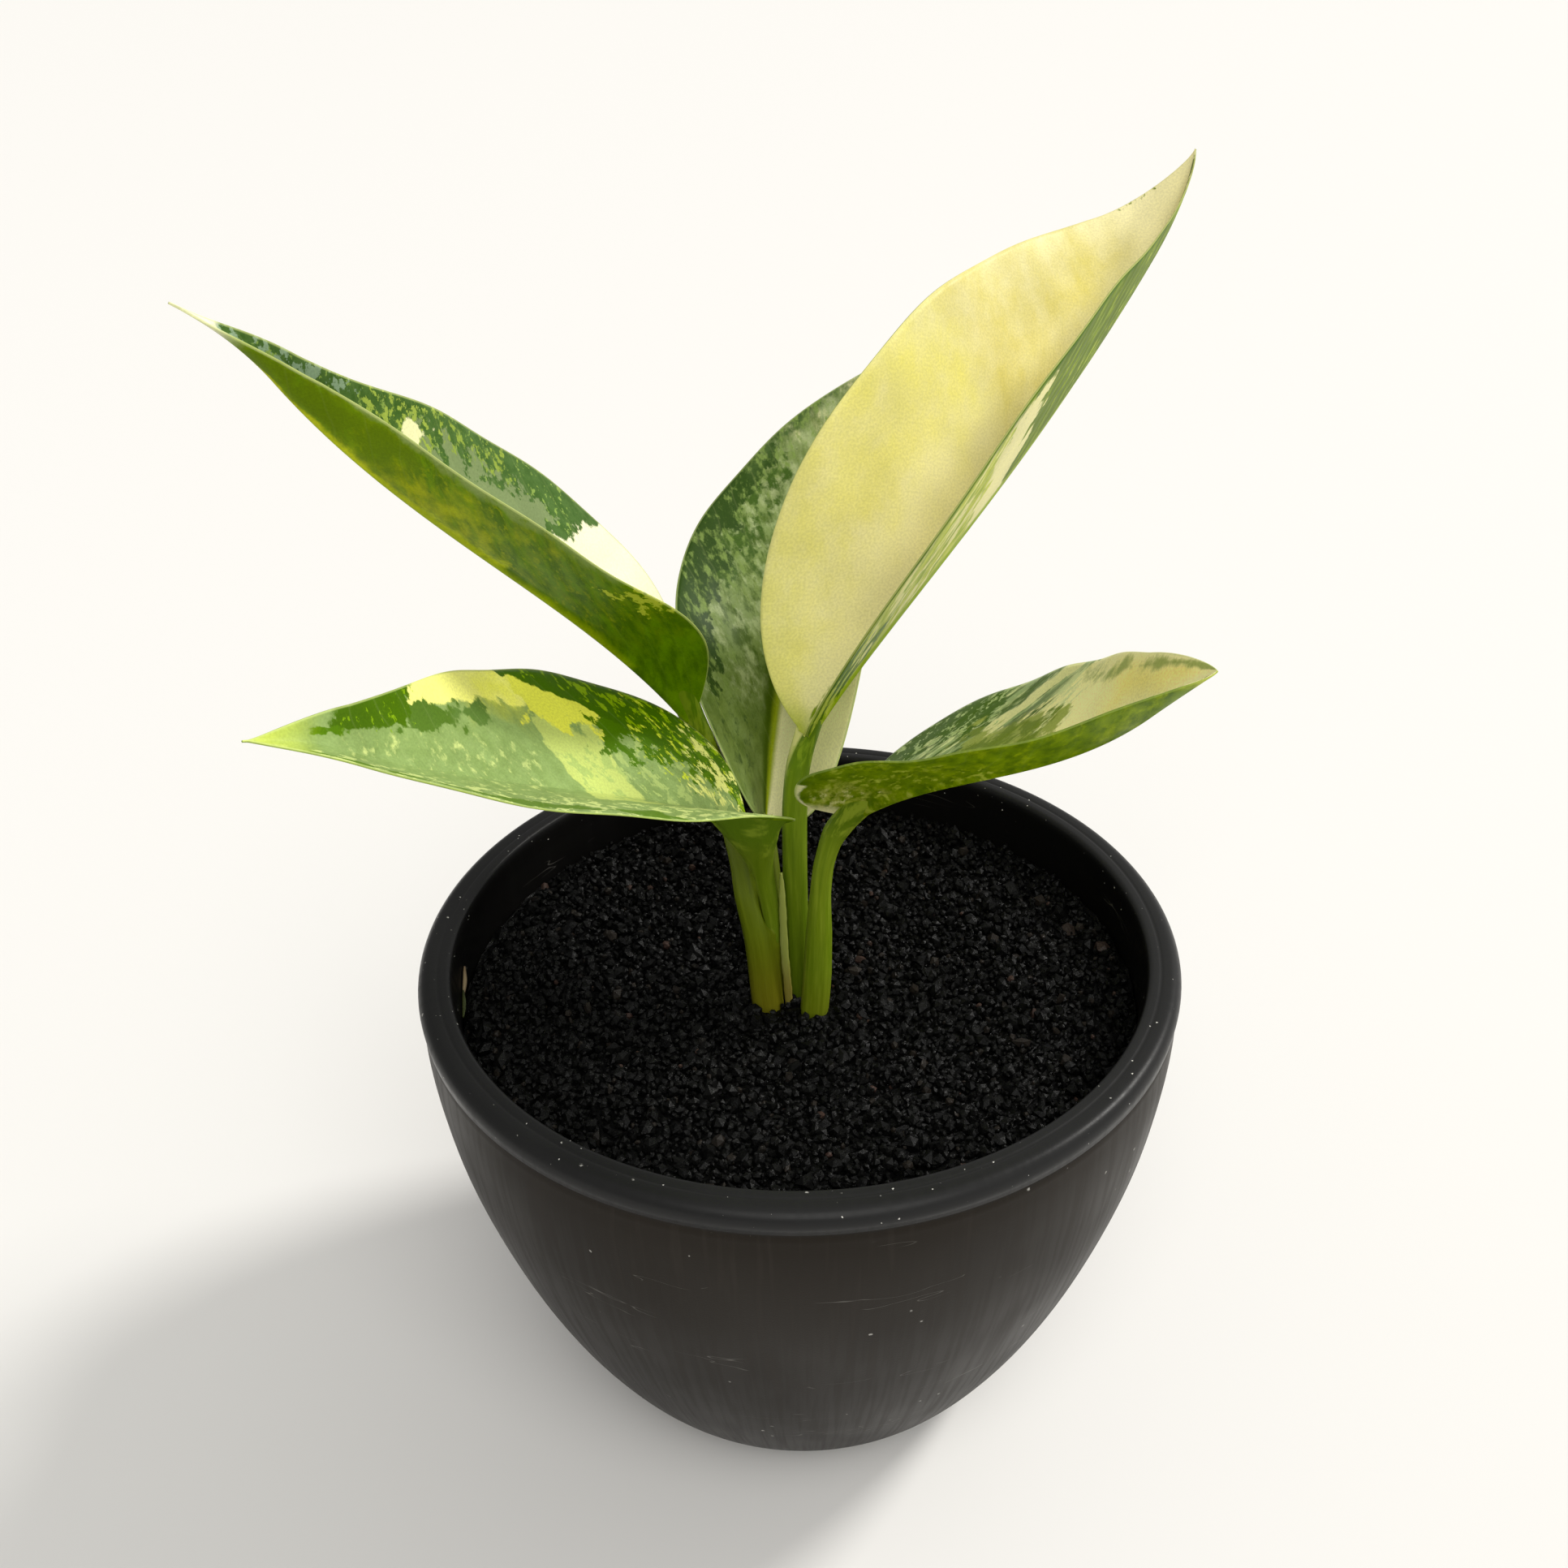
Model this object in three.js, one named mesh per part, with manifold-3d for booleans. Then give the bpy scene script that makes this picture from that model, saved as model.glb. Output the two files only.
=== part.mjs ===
// A potted aglaonema: five variegated leaves on one short stem, in a bowl of black volcanic grit.
// Millimetres, +Z up. The origin is the middle of the bowl's foot, on the surface that it stands on.
// The plant's front, with the level leaf to its left, faces -Y.

import * as THREE from 'three';
import * as BufferGeometryUtils from 'three/addons/utils/BufferGeometryUtils.js';
import Module from 'manifold-3d';

const wasm = await Module();
wasm.setup();

const clearance = 0.3;

// Bowl
const potHeight = 115;
const rimRadius = 81;
const lipHeight = 4.5;
const lipStep = 0.8;
const lipRounding = 2.6;
const innerRimRadius = 74;
const innerWallRadius = 73.2;
const innerRounding = 1.2;
const potWall = 3.2;
const potFloor = 4;
const footRadius = 40;
const potSides = 48;
const drainHoles = 6;
const drainHoleRadius = 3.5;
const drainHoleCircle = 25;

// The bowl's side from the foot up to the lip, as radius and height.
const bowlSide = [
  [footRadius, 0],
  [44.5, 1.5],
  [52.7, 11.5],
  [60.4, 25.3],
  [67.3, 41.4],
  [73.3, 59.8],
  [77.8, 78.2],
  [80.0, 94],
  [80.6, 103],
  [rimRadius, potHeight - lipHeight],
];

// Grit
const soilLevel = 102;
const gritCells = 32;
const gritSwell = 0.9;

// Stem and roots under the grit
const stemTop = 86;
const stemBottom = 56;
const stemRadius = 8.5;
const stemCentre = [-1.8, -2.4];
const rootCount = 8;
const rootRadius = 1.5;
const goldenTurn = THREE.MathUtils.degToRad(137.5);

// Leaves
const bladeThickness = 0.7;
const keelRounding = 1.2;
const lobeReach = 0.07;
const tipStretch = 0.16;
const steepestFold = 72;
const bladeStations = 21;
const bladeColumns = [0, 0.08, 0.24, 0.48, 0.75, 1];
const stalkSides = 10;
const stalkDepth = stemTop + 3 * clearance;

// Angles are in degrees, each at the blade's base, middle and tip. heading turns from +X, climb is
// above level, fold lifts each half above flat up to steepestFold, and roll turns the blade about
// its midrib.
// A stalk runs through its points, each with its radius, from the stem to the blade's base.
const leaves = {
  leaf_upper_left: {
    colour: 0x4c6a28,
    base: [-20.7, 7.5, 165],
    heading: [199, 210, 216],
    climb: [57, 46, 69.5],
    tipBend: -34,
    length: 128,
    halfWidth: 26.2,
    baseFullness: 0.78,
    tipTaper: 1.57,
    fold: [59, 38, 109],
    roll: [6, -10, -23],
    lobe: -2.6,
    ripple: 0.3,
    stalk: [
      [-5.6, -5.2, stalkDepth, 2.8],
      [-6.9, -5.6, 101, 3.5],
      [-8.2, -3.8, 118, 3.6],
      [-9.9, -1.4, 127, 3.6],
      [-11.1, 1.6, 133.5, 3.2],
      [-13.3, 5.6, 141, 2.6],
      [-15.6, 8.2, 149.2, 2.2],
      [-18.6, 8.5, 157.6, 1.8],
    ],
  },
  leaf_lower_left: {
    colour: 0x8ea35a,
    base: [-9.7, -9, 150],
    heading: [216, 222, 225],
    climb: [35, 29.5, 44.5],
    tipBend: -24.5,
    length: 112.8,
    halfWidth: 28.6,
    baseFullness: 0.61,
    tipTaper: 1.32,
    fold: [35, 24, 48.5],
    roll: [-6.5, -12.5, -42.5],
    lobe: 3.2,
    ripple: 0.35,
    stalk: [
      [-4.9, -3.5, stalkDepth, 1.6],
      [-5.1, -3.8, 104, 1.8],
      [-5.3, -4.2, 118.4, 1.9],
      [-5.8, -4.8, 125.3, 1.9],
      [-6.6, -5.8, 132.2, 2.1],
      [-7.6, -7.2, 139.4, 2.3],
      [-8.9, -8.8, 145.6, 2.4],
    ],
  },
  leaf_back: {
    colour: 0x6d8055,
    base: [-6.4, 9.5, 138.3],
    heading: [83, 70.5, 48.5],
    climb: [44, 35.5, 24.5],
    tipBend: 1,
    length: 125,
    halfWidth: 27,
    baseFullness: 0.63,
    tipTaper: 1,
    fold: [67, 30, 26],
    roll: [28.5, -10, 6.5],
    lobe: 4.5,
    ripple: 0.35,
    stalk: [
      [-3.4, 2.6, stalkDepth, 1.8],
      [-4.4, 4.6, 103, 2.0],
      [-5.2, 6.8, 120.5, 2.0],
      [-5.9, 8.4, 130.5, 1.9],
    ],
  },
  leaf_upper_right: {
    colour: 0xd9d48c,
    base: [1.6, -5.2, 167.7],
    heading: [20.5, 50.5, 38],
    climb: [55, 26.5, 55],
    tipBend: 19,
    length: 153.3,
    halfWidth: 37.4,
    baseFullness: 0.74,
    tipTaper: 1.08,
    fold: [45, 64.5, 37.5],
    roll: [5, 2, -17],
    lobe: 1.1,
    ripple: 0.35,
    stalk: [
      [-0.3, -2.0, stalkDepth, 2.2],
      [-0.4, -2.2, 104.6, 2.5],
      [-0.3, -2.5, 114.7, 2.5],
      [-0.5, -2.8, 127.9, 2.6],
      [-0.5, -3.4, 140.6, 2.6],
      [-0.3, -4.2, 151, 2.6],
      [0.5, -4.9, 160.5, 2.4],
    ],
  },
  leaf_right: {
    colour: 0x8f9d5c,
    base: [10.6, -11.7, 153.3],
    heading: [318, 312.5, 319.5],
    climb: [44, 32.5, 62.5],
    tipBend: -15.5,
    length: 95.5,
    halfWidth: 24.2,
    baseFullness: 0.49,
    tipTaper: 0.8,
    fold: [32, 28, 42],
    roll: [-7.5, 2, 17],
    lobe: 4.4,
    ripple: 0.3,
    stalk: [
      [1.6, -6.8, stalkDepth, 2.6],
      [3.2, -8.4, 102, 3.1],
      [3.8, -8.7, 111, 3.1],
      [4.2, -9.0, 121.8, 2.8],
      [4.6, -9.6, 132.7, 2.2],
      [5.5, -10.2, 141, 2.1],
      [7.6, -10.9, 148, 2.1],
    ],
  },
};
const rippleCount = 4;
const stalkOverlap = 7;
const ribDepth = 1.7;
const ribHalfWidth = 1.8;

// Papery scale between two stalks: points with half width, from under the grit to its tip.
const scaleThickness = 0.6;
const scalePoints = [
  [-2.1, -6.5, 97, 0.8],
  [-2.5, -6.4, 106, 0.85],
  [-3.0, -6.4, 115, 0.85],
  [-3.2, -6.5, 126, 0.75],
  [-3.3, -6.7, 132, 0.6],
  [-3.4, -6.9, 136, 0.3],
];

function finish(colour, roughness) {
  return new THREE.MeshStandardMaterial({ color: colour, roughness: roughness, metalness: 0 });
}

function toSolid(geometry) {
  const bare = geometry.clone();
  bare.deleteAttribute('normal');
  bare.deleteAttribute('uv');
  const merged = BufferGeometryUtils.mergeVertices(bare, 1e-4);
  const corners = Array.from(merged.index.array);
  const kept = [];
  for (let i = 0; i < corners.length; i += 3) {
    const [a, b, c] = corners.slice(i, i + 3);
    if (a !== b && b !== c && c !== a) kept.push(a, b, c);
  }
  return new wasm.Manifold(new wasm.Mesh({
    numProp: 3,
    vertProperties: new Float32Array(merged.attributes.position.array),
    triVerts: new Uint32Array(kept),
  }));
}

function toGeometry(solid) {
  const mesh = solid.getMesh();
  const geometry = new THREE.BufferGeometry();
  geometry.setAttribute('position', new THREE.BufferAttribute(new Float32Array(mesh.vertProperties), 3));
  geometry.setIndex(Array.from(mesh.triVerts));
  geometry.computeVertexNormals();
  return geometry;
}

function turnedUpright(profile, sides) {
  const points = profile.map(([radius, height]) => new THREE.Vector2(radius, height));
  return new THREE.LatheGeometry(points, sides).rotateX(Math.PI / 2);
}

function roundedCorner(centreRadius, centreHeight, rounding, fromAngle, toAngle, steps) {
  const corner = [];
  for (let i = 0; i <= steps; i += 1) {
    const angle = THREE.MathUtils.degToRad(fromAngle + (toAngle - fromAngle) * i / steps);
    corner.push([centreRadius + rounding * Math.cos(angle), centreHeight + rounding * Math.sin(angle)]);
  }
  return corner;
}

// Radius of the bowl's inside at each height: a wall of even thickness under a thick upright rim.
function innerSide(offset) {
  const side = [];
  for (const [radius, height] of bowlSide.slice(1, -1)) {
    if (height > potFloor) side.push([Math.min(innerWallRadius, radius - potWall) - offset, height]);
  }
  return side;
}

function makePot() {
  const lip = roundedCorner(rimRadius - lipRounding, potHeight - lipRounding, lipRounding, 0, 90, 4);
  const innerLip = roundedCorner(innerRimRadius + innerRounding, potHeight - innerRounding,
    innerRounding, 90, 180, 2);
  const profile = [
    [0, 0],
    ...bowlSide.slice(0, -1),
    [rimRadius - lipStep, potHeight - lipHeight - 0.6],
    [rimRadius, potHeight - lipHeight],
    ...lip,
    ...innerLip,
    ...innerSide(0).reverse(),
    [bowlSide[2][0] - potWall - 6, potFloor],
    [0, potFloor],
  ];
  let bowl = toSolid(turnedUpright(profile, potSides));
  for (let i = 0; i < drainHoles; i += 1) {
    const angle = 2 * Math.PI * i / drainHoles;
    const hole = new THREE.CylinderGeometry(drainHoleRadius, drainHoleRadius, 4 * potFloor, 16)
      .rotateX(Math.PI / 2)
      .translate(drainHoleCircle * Math.cos(angle), drainHoleCircle * Math.sin(angle), 0);
    bowl = bowl.subtract(toSolid(hole));
  }
  return toGeometry(bowl);
}

// Three points of a quadratic through the base, the middle and the tip.
function along([base, middle, tip], t) {
  return base * (1 - t) * (1 - 2 * t) + middle * 4 * t * (1 - t) + tip * t * (2 * t - 1);
}

function bladeAxes(leaf, t) {
  const stretch = THREE.MathUtils.clamp((t - 1 + tipStretch) / tipStretch, 0, 1);
  const heading = THREE.MathUtils.degToRad(along(leaf.heading, t));
  const climb = THREE.MathUtils.degToRad(along(leaf.climb, t) + leaf.tipBend * stretch);
  const roll = THREE.MathUtils.degToRad(along(leaf.roll, t));
  const forward = new THREE.Vector3(Math.cos(climb) * Math.cos(heading),
    Math.cos(climb) * Math.sin(heading), Math.sin(climb));
  const level = new THREE.Vector3(-Math.sin(heading), Math.cos(heading), 0);
  const side = level.applyAxisAngle(forward, roll);
  const up = new THREE.Vector3().crossVectors(forward, side);
  return { forward, side, up };
}

function halfWidthAt(leaf, t) {
  const { halfWidth, baseFullness, tipTaper } = leaf;
  const widest = baseFullness / (baseFullness + tipTaper);
  const shape = (s) => Math.pow(s, baseFullness) * Math.pow(1 - s, tipTaper);
  const smallest = 0.5 + 1.1 * (1 - t);
  return Math.max(smallest, halfWidth * shape(THREE.MathUtils.clamp(t, 0, 1)) / shape(widest));
}

// The midrib is walked in small steps from the blade's base.
function makeMidrib(leaf) {
  const steps = 60;
  const points = [new THREE.Vector3(...leaf.base)];
  for (let i = 0; i < steps; i += 1) {
    const { forward } = bladeAxes(leaf, (i + 0.5) / steps);
    points.push(points.at(-1).clone().addScaledVector(forward, leaf.length / steps));
  }
  return (t) => {
    const place = THREE.MathUtils.clamp(t, 0, 1) * steps;
    const i = Math.min(Math.floor(place), steps - 1);
    return points[i].clone().lerp(points[i + 1], place - i);
  };
}

// A point of the blade's middle surface: t runs from base to tip, q from the right edge to the left.
function bladePoint(leaf, midrib, t, q) {
  const { forward, side, up } = bladeAxes(leaf, t);
  const reach = halfWidthAt(leaf, t) * Math.abs(q);
  const fold = THREE.MathUtils.degToRad(Math.min(steepestFold, along(leaf.fold, t)));
  const point = midrib(t);
  const steps = 8;
  for (let i = 0; i < steps; i += 1) {
    const arc = reach * (i + 0.5) / steps;
    const angle = fold * (1 - Math.exp(-arc / keelRounding));
    point.addScaledVector(side, Math.sign(q) * Math.cos(angle) * reach / steps);
    point.addScaledVector(up, Math.sin(angle) * reach / steps);
  }
  const backward = leaf.lobe * (t / lobeReach) * Math.exp(1 - t / lobeReach);
  const wave = leaf.ripple * q * q * Math.sin(Math.PI * t)
    * Math.sin(2 * Math.PI * (rippleCount * t + 0.25 * Math.sign(q)));
  return point.addScaledVector(forward, -backward * Math.abs(q)).addScaledVector(up, wave);
}

function bladeNormal(leaf, midrib, t, q) {
  const dt = 0.004;
  const dq = 0.02;
  const s = THREE.MathUtils.clamp(t, dt, 1 - dt);
  const p = THREE.MathUtils.clamp(q, dq - 1, 1 - dq);
  const lengthwise = bladePoint(leaf, midrib, s + dt, p).sub(bladePoint(leaf, midrib, s - dt, p));
  const crosswise = bladePoint(leaf, midrib, s, p + dq).sub(bladePoint(leaf, midrib, s, p - dq));
  return lengthwise.cross(crosswise).normalize();
}

// A closed slab between two grids of the same size. Both faces are split along the same diagonals.
function slab(upper, lower) {
  const rows = upper.length;
  const columns = upper[0].length;
  const positions = [...upper.flat(), ...lower.flat()].flatMap((point) => point.toArray());
  const top = (i, j) => i * columns + j;
  const bottom = (i, j) => rows * columns + top(i, j);
  const faces = [];
  for (let i = 0; i + 1 < rows; i += 1) {
    for (let j = 0; j + 1 < columns; j += 1) {
      faces.push(top(i, j), top(i + 1, j), top(i + 1, j + 1), top(i, j), top(i + 1, j + 1), top(i, j + 1));
      faces.push(bottom(i, j), bottom(i + 1, j + 1), bottom(i + 1, j));
      faces.push(bottom(i, j), bottom(i, j + 1), bottom(i + 1, j + 1));
    }
  }
  const rim = [];
  for (let j = 0; j < columns - 1; j += 1) rim.push([0, j]);
  for (let i = 0; i < rows - 1; i += 1) rim.push([i, columns - 1]);
  for (let j = columns - 1; j > 0; j -= 1) rim.push([rows - 1, j]);
  for (let i = rows - 1; i > 0; i -= 1) rim.push([i, 0]);
  rim.forEach(([i, j], k) => {
    const [nextI, nextJ] = rim[(k + 1) % rim.length];
    faces.push(top(i, j), top(nextI, nextJ), bottom(nextI, nextJ));
    faces.push(top(i, j), bottom(nextI, nextJ), bottom(i, j));
  });
  const geometry = new THREE.BufferGeometry();
  geometry.setAttribute('position', new THREE.Float32BufferAttribute(positions, 3));
  geometry.setIndex(faces);
  return geometry;
}

function makeBlade(leaf) {
  const midrib = makeMidrib(leaf);
  const acrossRight = bladeColumns.slice(1).reverse().map((q) => -q);
  const across = [...acrossRight, ...bladeColumns];
  const upper = [];
  const lower = [];
  for (let i = 0; i < bladeStations; i += 1) {
    const t = 0.5 - 0.5 * Math.cos(Math.PI * i / (bladeStations - 1));
    const upperRow = [];
    const lowerRow = [];
    for (const q of across) {
      const point = bladePoint(leaf, midrib, t, q);
      const normal = bladeNormal(leaf, midrib, t, q);
      const fromRib = halfWidthAt(leaf, t) * q / (ribHalfWidth * (1 - 0.7 * t));
      const rib = ribDepth * (1 - t) * Math.exp(-fromRib * fromRib);
      upperRow.push(point.clone().addScaledVector(normal, bladeThickness / 2));
      lowerRow.push(point.clone().addScaledVector(normal, -bladeThickness / 2 - rib));
    }
    upper.push(upperRow);
    lower.push(lowerRow);
  }
  return toSolid(slab(upper, lower));
}

// A round tube whose radius changes along a smooth curve through the given points.
// extra makes it thicker and longer all round, to cut the hole that it stands in.
function taperedTube(points, radii, sides, steps, extra) {
  const longer = (end, next) => end.clone().add(end.clone().sub(next).setLength(extra));
  const path = [longer(points[0], points[1]), ...points.slice(1, -1), longer(points.at(-1), points.at(-2))];
  const curve = new THREE.CatmullRomCurve3(extra > 0 ? path : points, false, 'centripetal');
  const frames = curve.computeFrenetFrames(steps);
  const positions = [];
  const faces = [];
  const ring = (i, k) => i * sides + (k % sides);
  for (let i = 0; i <= steps; i += 1) {
    const u = i / steps;
    const centre = curve.getPointAt(u);
    const place = curve.getUtoTmapping(u) * (radii.length - 1);
    const span = Math.min(Math.floor(place), radii.length - 2);
    const radius = THREE.MathUtils.lerp(radii[span], radii[span + 1], place - span) + extra;
    for (let k = 0; k < sides; k += 1) {
      const angle = 2 * Math.PI * k / sides;
      const point = centre.clone()
        .addScaledVector(frames.normals[i], radius * Math.cos(angle))
        .addScaledVector(frames.binormals[i], radius * Math.sin(angle));
      positions.push(...point.toArray());
    }
  }
  for (let i = 0; i < steps; i += 1) {
    for (let k = 0; k < sides; k += 1) {
      faces.push(ring(i, k), ring(i, k + 1), ring(i + 1, k + 1), ring(i, k), ring(i + 1, k + 1), ring(i + 1, k));
    }
  }
  for (let k = 1; k + 1 < sides; k += 1) {
    faces.push(ring(0, 0), ring(0, k + 1), ring(0, k));
    faces.push(ring(steps, 0), ring(steps, k), ring(steps, k + 1));
  }
  const geometry = new THREE.BufferGeometry();
  geometry.setAttribute('position', new THREE.Float32BufferAttribute(positions, 3));
  geometry.setIndex(faces);
  return toSolid(geometry);
}

// The stalk runs on under the blade's base and sinks into its midrib.
function makeStalk(leaf, extra = 0) {
  const { forward, up } = bladeAxes(leaf, 0);
  const base = new THREE.Vector3(...leaf.base).addScaledVector(up, -0.9);
  const points = leaf.stalk.map(([x, y, z]) => new THREE.Vector3(x, y, z));
  points.push(base, base.clone().addScaledVector(forward, stalkOverlap));
  const lastRadius = leaf.stalk.at(-1)[3];
  const radii = [...leaf.stalk.map((place) => place[3]), 0.85 * lastRadius, 0.45 * lastRadius];
  return taperedTube(points, radii, stalkSides, 14, extra);
}

function makeScale(extra = 0) {
  const across = new THREE.Vector3(-1, 0, 0);
  const outward = new THREE.Vector3(0, -1, 0);
  const upper = [];
  const lower = [];
  for (const [i, [x, y, z, halfWidth]] of scalePoints.entries()) {
    const centre = new THREE.Vector3(x, y, i === 0 ? z - extra : z);
    const row = [-1, 0, 1].map((q) => centre.clone()
      .addScaledVector(across, q * (halfWidth + extra))
      .addScaledVector(outward, 0.25 * (1 - q * q)));
    upper.push(row.map((point) => point.clone().addScaledVector(outward, scaleThickness / 2 + extra)));
    lower.push(row.map((point) => point.clone().addScaledVector(outward, -scaleThickness / 2 - extra)));
  }
  return toSolid(slab(upper, lower));
}

function makeStemAndRoots(extra = 0) {
  const [x, y] = stemCentre;
  const foot = stemBottom - extra;
  const height = stemTop + extra - foot;
  const rings = [0, 0.16, 0.3, 0.46, 0.62, 0.78, 0.9, 1];
  const side = rings.map((level, i) => {
    const swell = i % 2 === 0 ? 0.5 : -0.5;
    const radius = stemRadius * (0.55 + 0.45 * Math.sqrt(level)) + swell;
    return [radius + extra, foot + height * level];
  });
  const profile = [[0, side[0][1]], ...side, [0, side.at(-1)[1]]];
  let solid = toSolid(turnedUpright(profile, 16).translate(x, y, 0));
  for (let i = 0; i < rootCount; i += 1) {
    const heading = i * goldenTurn;
    const start = stemTop - 8 - 2.2 * i;
    const reach = 42 - 3 * (i % 3);
    const drop = 26 + 5 * (i % 4);
    const at = (radius, z, swing) => new THREE.Vector3(x + radius * Math.cos(heading + swing),
      y + radius * Math.sin(heading + swing), z);
    const points = [
      at(3, start + 0.5, 0),
      at(12, start - 1, 0),
      at(0.55 * reach, start - 0.3 * drop, 0.12),
      at(0.8 * reach, start - 0.65 * drop, 0.2),
      at(reach, start - drop, 0.15),
    ];
    const radii = [rootRadius, rootRadius, 0.9 * rootRadius, 0.7 * rootRadius, 0.4 * rootRadius];
    solid = solid.add(taperedTube(points, radii, 6, 8, extra));
  }
  return solid;
}

// Height of the grit above its mean level: rounded lumps of a few millimetres, never twice alike.
function gritRelief(x, y) {
  const lumps = Math.sin(0.86 * x + 1.7 * Math.sin(0.39 * y)) * Math.sin(0.81 * y + 1.5 * Math.sin(0.43 * x));
  const pits = Math.sin(1.31 * x - 0.6 * y + 2) * Math.sin(1.13 * y + 0.5 * x);
  return gritSwell * (0.65 * lumps + 0.35 * pits);
}

function makeSoil(holes) {
  const top = soilLevel + 2 * gritSwell;
  const side = innerSide(clearance);
  const profile = [
    [0, potFloor + clearance],
    [side[0][0] - 6, potFloor + clearance],
    ...side.filter(([, height]) => height < soilLevel - 2),
    [innerWallRadius - clearance, soilLevel - 2],
    [innerWallRadius - clearance, top],
    [0, top],
  ];
  const plug = toSolid(turnedUpright(profile, potSides));
  const width = 2 * rimRadius;
  const block = new THREE.BoxGeometry(width, width, soilLevel, gritCells, gritCells, 1)
    .translate(0, 0, soilLevel / 2);
  const place = block.attributes.position;
  for (let i = 0; i < place.count; i += 1) {
    const x = place.getX(i);
    const y = place.getY(i);
    if (place.getZ(i) > soilLevel / 2) place.setZ(i, soilLevel + gritRelief(x, y));
  }
  let soil = plug.intersect(toSolid(block));
  for (const hole of holes) soil = soil.subtract(hole);
  return toGeometry(soil);
}

function makeLeaf(leaf) {
  return makeBlade(leaf).add(makeStalk(leaf));
}

const plant = new THREE.Group();

function place(name, geometry, material) {
  const mesh = new THREE.Mesh(geometry, material);
  mesh.name = name;
  plant.add(mesh);
}

place('pot', makePot(), finish(0x232325, 0.55));

const stalkHoles = Object.values(leaves).map((leaf) => makeStalk(leaf, clearance));
const soilHoles = [...stalkHoles, makeScale(clearance), makeStemAndRoots(clearance)];
place('soil', makeSoil(soilHoles), finish(0x17171a, 0.9));
place('stem_and_roots', toGeometry(makeStemAndRoots()), finish(0xb9ac84, 0.7));

const lowerLeftStalk = makeStalk(leaves.leaf_lower_left, clearance);
for (const [name, leaf] of Object.entries(leaves)) {
  const wrapped = name === 'leaf_upper_left' ? makeLeaf(leaf).subtract(lowerLeftStalk) : makeLeaf(leaf);
  place(name, toGeometry(wrapped), finish(leaf.colour, 0.45));
}
place('stalk_scale', toGeometry(makeScale()), finish(0xa9b04f, 0.6));

export default plant;
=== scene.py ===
# %% [markdown]
# # A potted aglaonema
#
# This notebook dresses a plain model of a young house plant. The model gives each piece's place and
# size. Here each one gets its fine form, its colours and its surface. Lengths are in metres, but the
# numbers that describe the plant are in millimetres, because that is how a grower measures one.

import math

import bmesh
import bpy
import numpy as np
from mathutils import Matrix


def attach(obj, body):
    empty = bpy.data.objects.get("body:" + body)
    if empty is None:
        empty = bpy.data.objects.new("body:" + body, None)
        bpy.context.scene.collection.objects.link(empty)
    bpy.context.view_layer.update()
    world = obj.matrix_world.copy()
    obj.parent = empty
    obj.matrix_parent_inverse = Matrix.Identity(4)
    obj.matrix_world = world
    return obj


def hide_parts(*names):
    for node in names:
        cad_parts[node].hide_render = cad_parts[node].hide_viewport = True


MM = 0.001
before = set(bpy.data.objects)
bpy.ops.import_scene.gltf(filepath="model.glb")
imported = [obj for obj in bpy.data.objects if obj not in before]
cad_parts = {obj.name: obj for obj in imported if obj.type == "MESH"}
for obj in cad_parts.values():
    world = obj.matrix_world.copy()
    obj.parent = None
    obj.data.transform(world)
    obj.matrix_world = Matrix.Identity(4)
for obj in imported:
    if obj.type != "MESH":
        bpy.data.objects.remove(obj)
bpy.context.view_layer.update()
print("pieces in the frame:", ", ".join(sorted(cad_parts)))

# %% [markdown]
# ## Camera
#
# The camera's place was worked out from the oval that the pot's round rim makes in the picture. The
# camera looks down by 32 degrees and leans very slightly, so its axes are built from those two angles
# instead of being turned by eye.

# %% Camera
CAMERA_AT = (-2.4, -279.6, 327.7)
CAMERA_DOWN = math.radians(31.99)
CAMERA_LEAN = math.radians(-1.18)
FOCAL_PIXELS = 2000
PICTURE_PIXELS = 1932
SENSOR_WIDTH = 36


def add_object(name, data):
    thing = bpy.data.objects.new(name, data)
    bpy.context.scene.collection.objects.link(thing)
    return thing


def turned_to(x, y, z):
    return Matrix([list(row) for row in np.stack([x, y, z], 1)]).to_4x4()


forward = np.array([0, math.cos(CAMERA_DOWN), -math.sin(CAMERA_DOWN)])
level = np.array([1, 0, 0])
upward = np.array([0, math.sin(CAMERA_DOWN), math.cos(CAMERA_DOWN)])
right = math.cos(CAMERA_LEAN) * level + math.sin(CAMERA_LEAN) * upward
top = math.cos(CAMERA_LEAN) * upward - math.sin(CAMERA_LEAN) * level

camera_data = bpy.data.cameras.new("camera")
camera_data.sensor_width = SENSOR_WIDTH
camera_data.lens = SENSOR_WIDTH * FOCAL_PIXELS / PICTURE_PIXELS
camera_data.clip_start = 0.01
camera = add_object("camera", camera_data)
stand = Matrix.Translation([c * MM for c in CAMERA_AT])
camera.matrix_world = stand @ turned_to(right, top, -forward)
bpy.context.scene.camera = camera
print("lens", round(camera_data.lens, 2), "mm")

# %% [markdown]
# ## Small helpers for materials
#
# A material is a chain of nodes. These helpers add a node, set its inputs by name and return the
# output, so a finish reads like a recipe. Colours are written as the hexadecimal values that a
# painter would pick from a colour chart, and turned into the linear values that the shader needs.

# %% Colours and nodes
def linear(hex_colour):
    channels = [int(hex_colour[i:i + 2], 16) / 255 for i in (1, 3, 5)]
    return tuple(c / 12.92 if c <= 0.04045 else ((c + 0.055) / 1.055) ** 2.4 for c in channels) + (1,)


def feed(tree, socket, value):
    if isinstance(value, bpy.types.NodeSocket):
        tree.links.new(value, socket)
    else:
        socket.default_value = linear(value) if isinstance(value, str) else value


def add_node(tree, kind, settings=None, **inputs):
    node = tree.nodes.new("ShaderNode" + kind)
    for name, value in (settings or {}).items():
        setattr(node, name, value)
    for name, value in inputs.items():
        feed(tree, node.inputs[name.replace("_", " ")], value)
    return node


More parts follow.
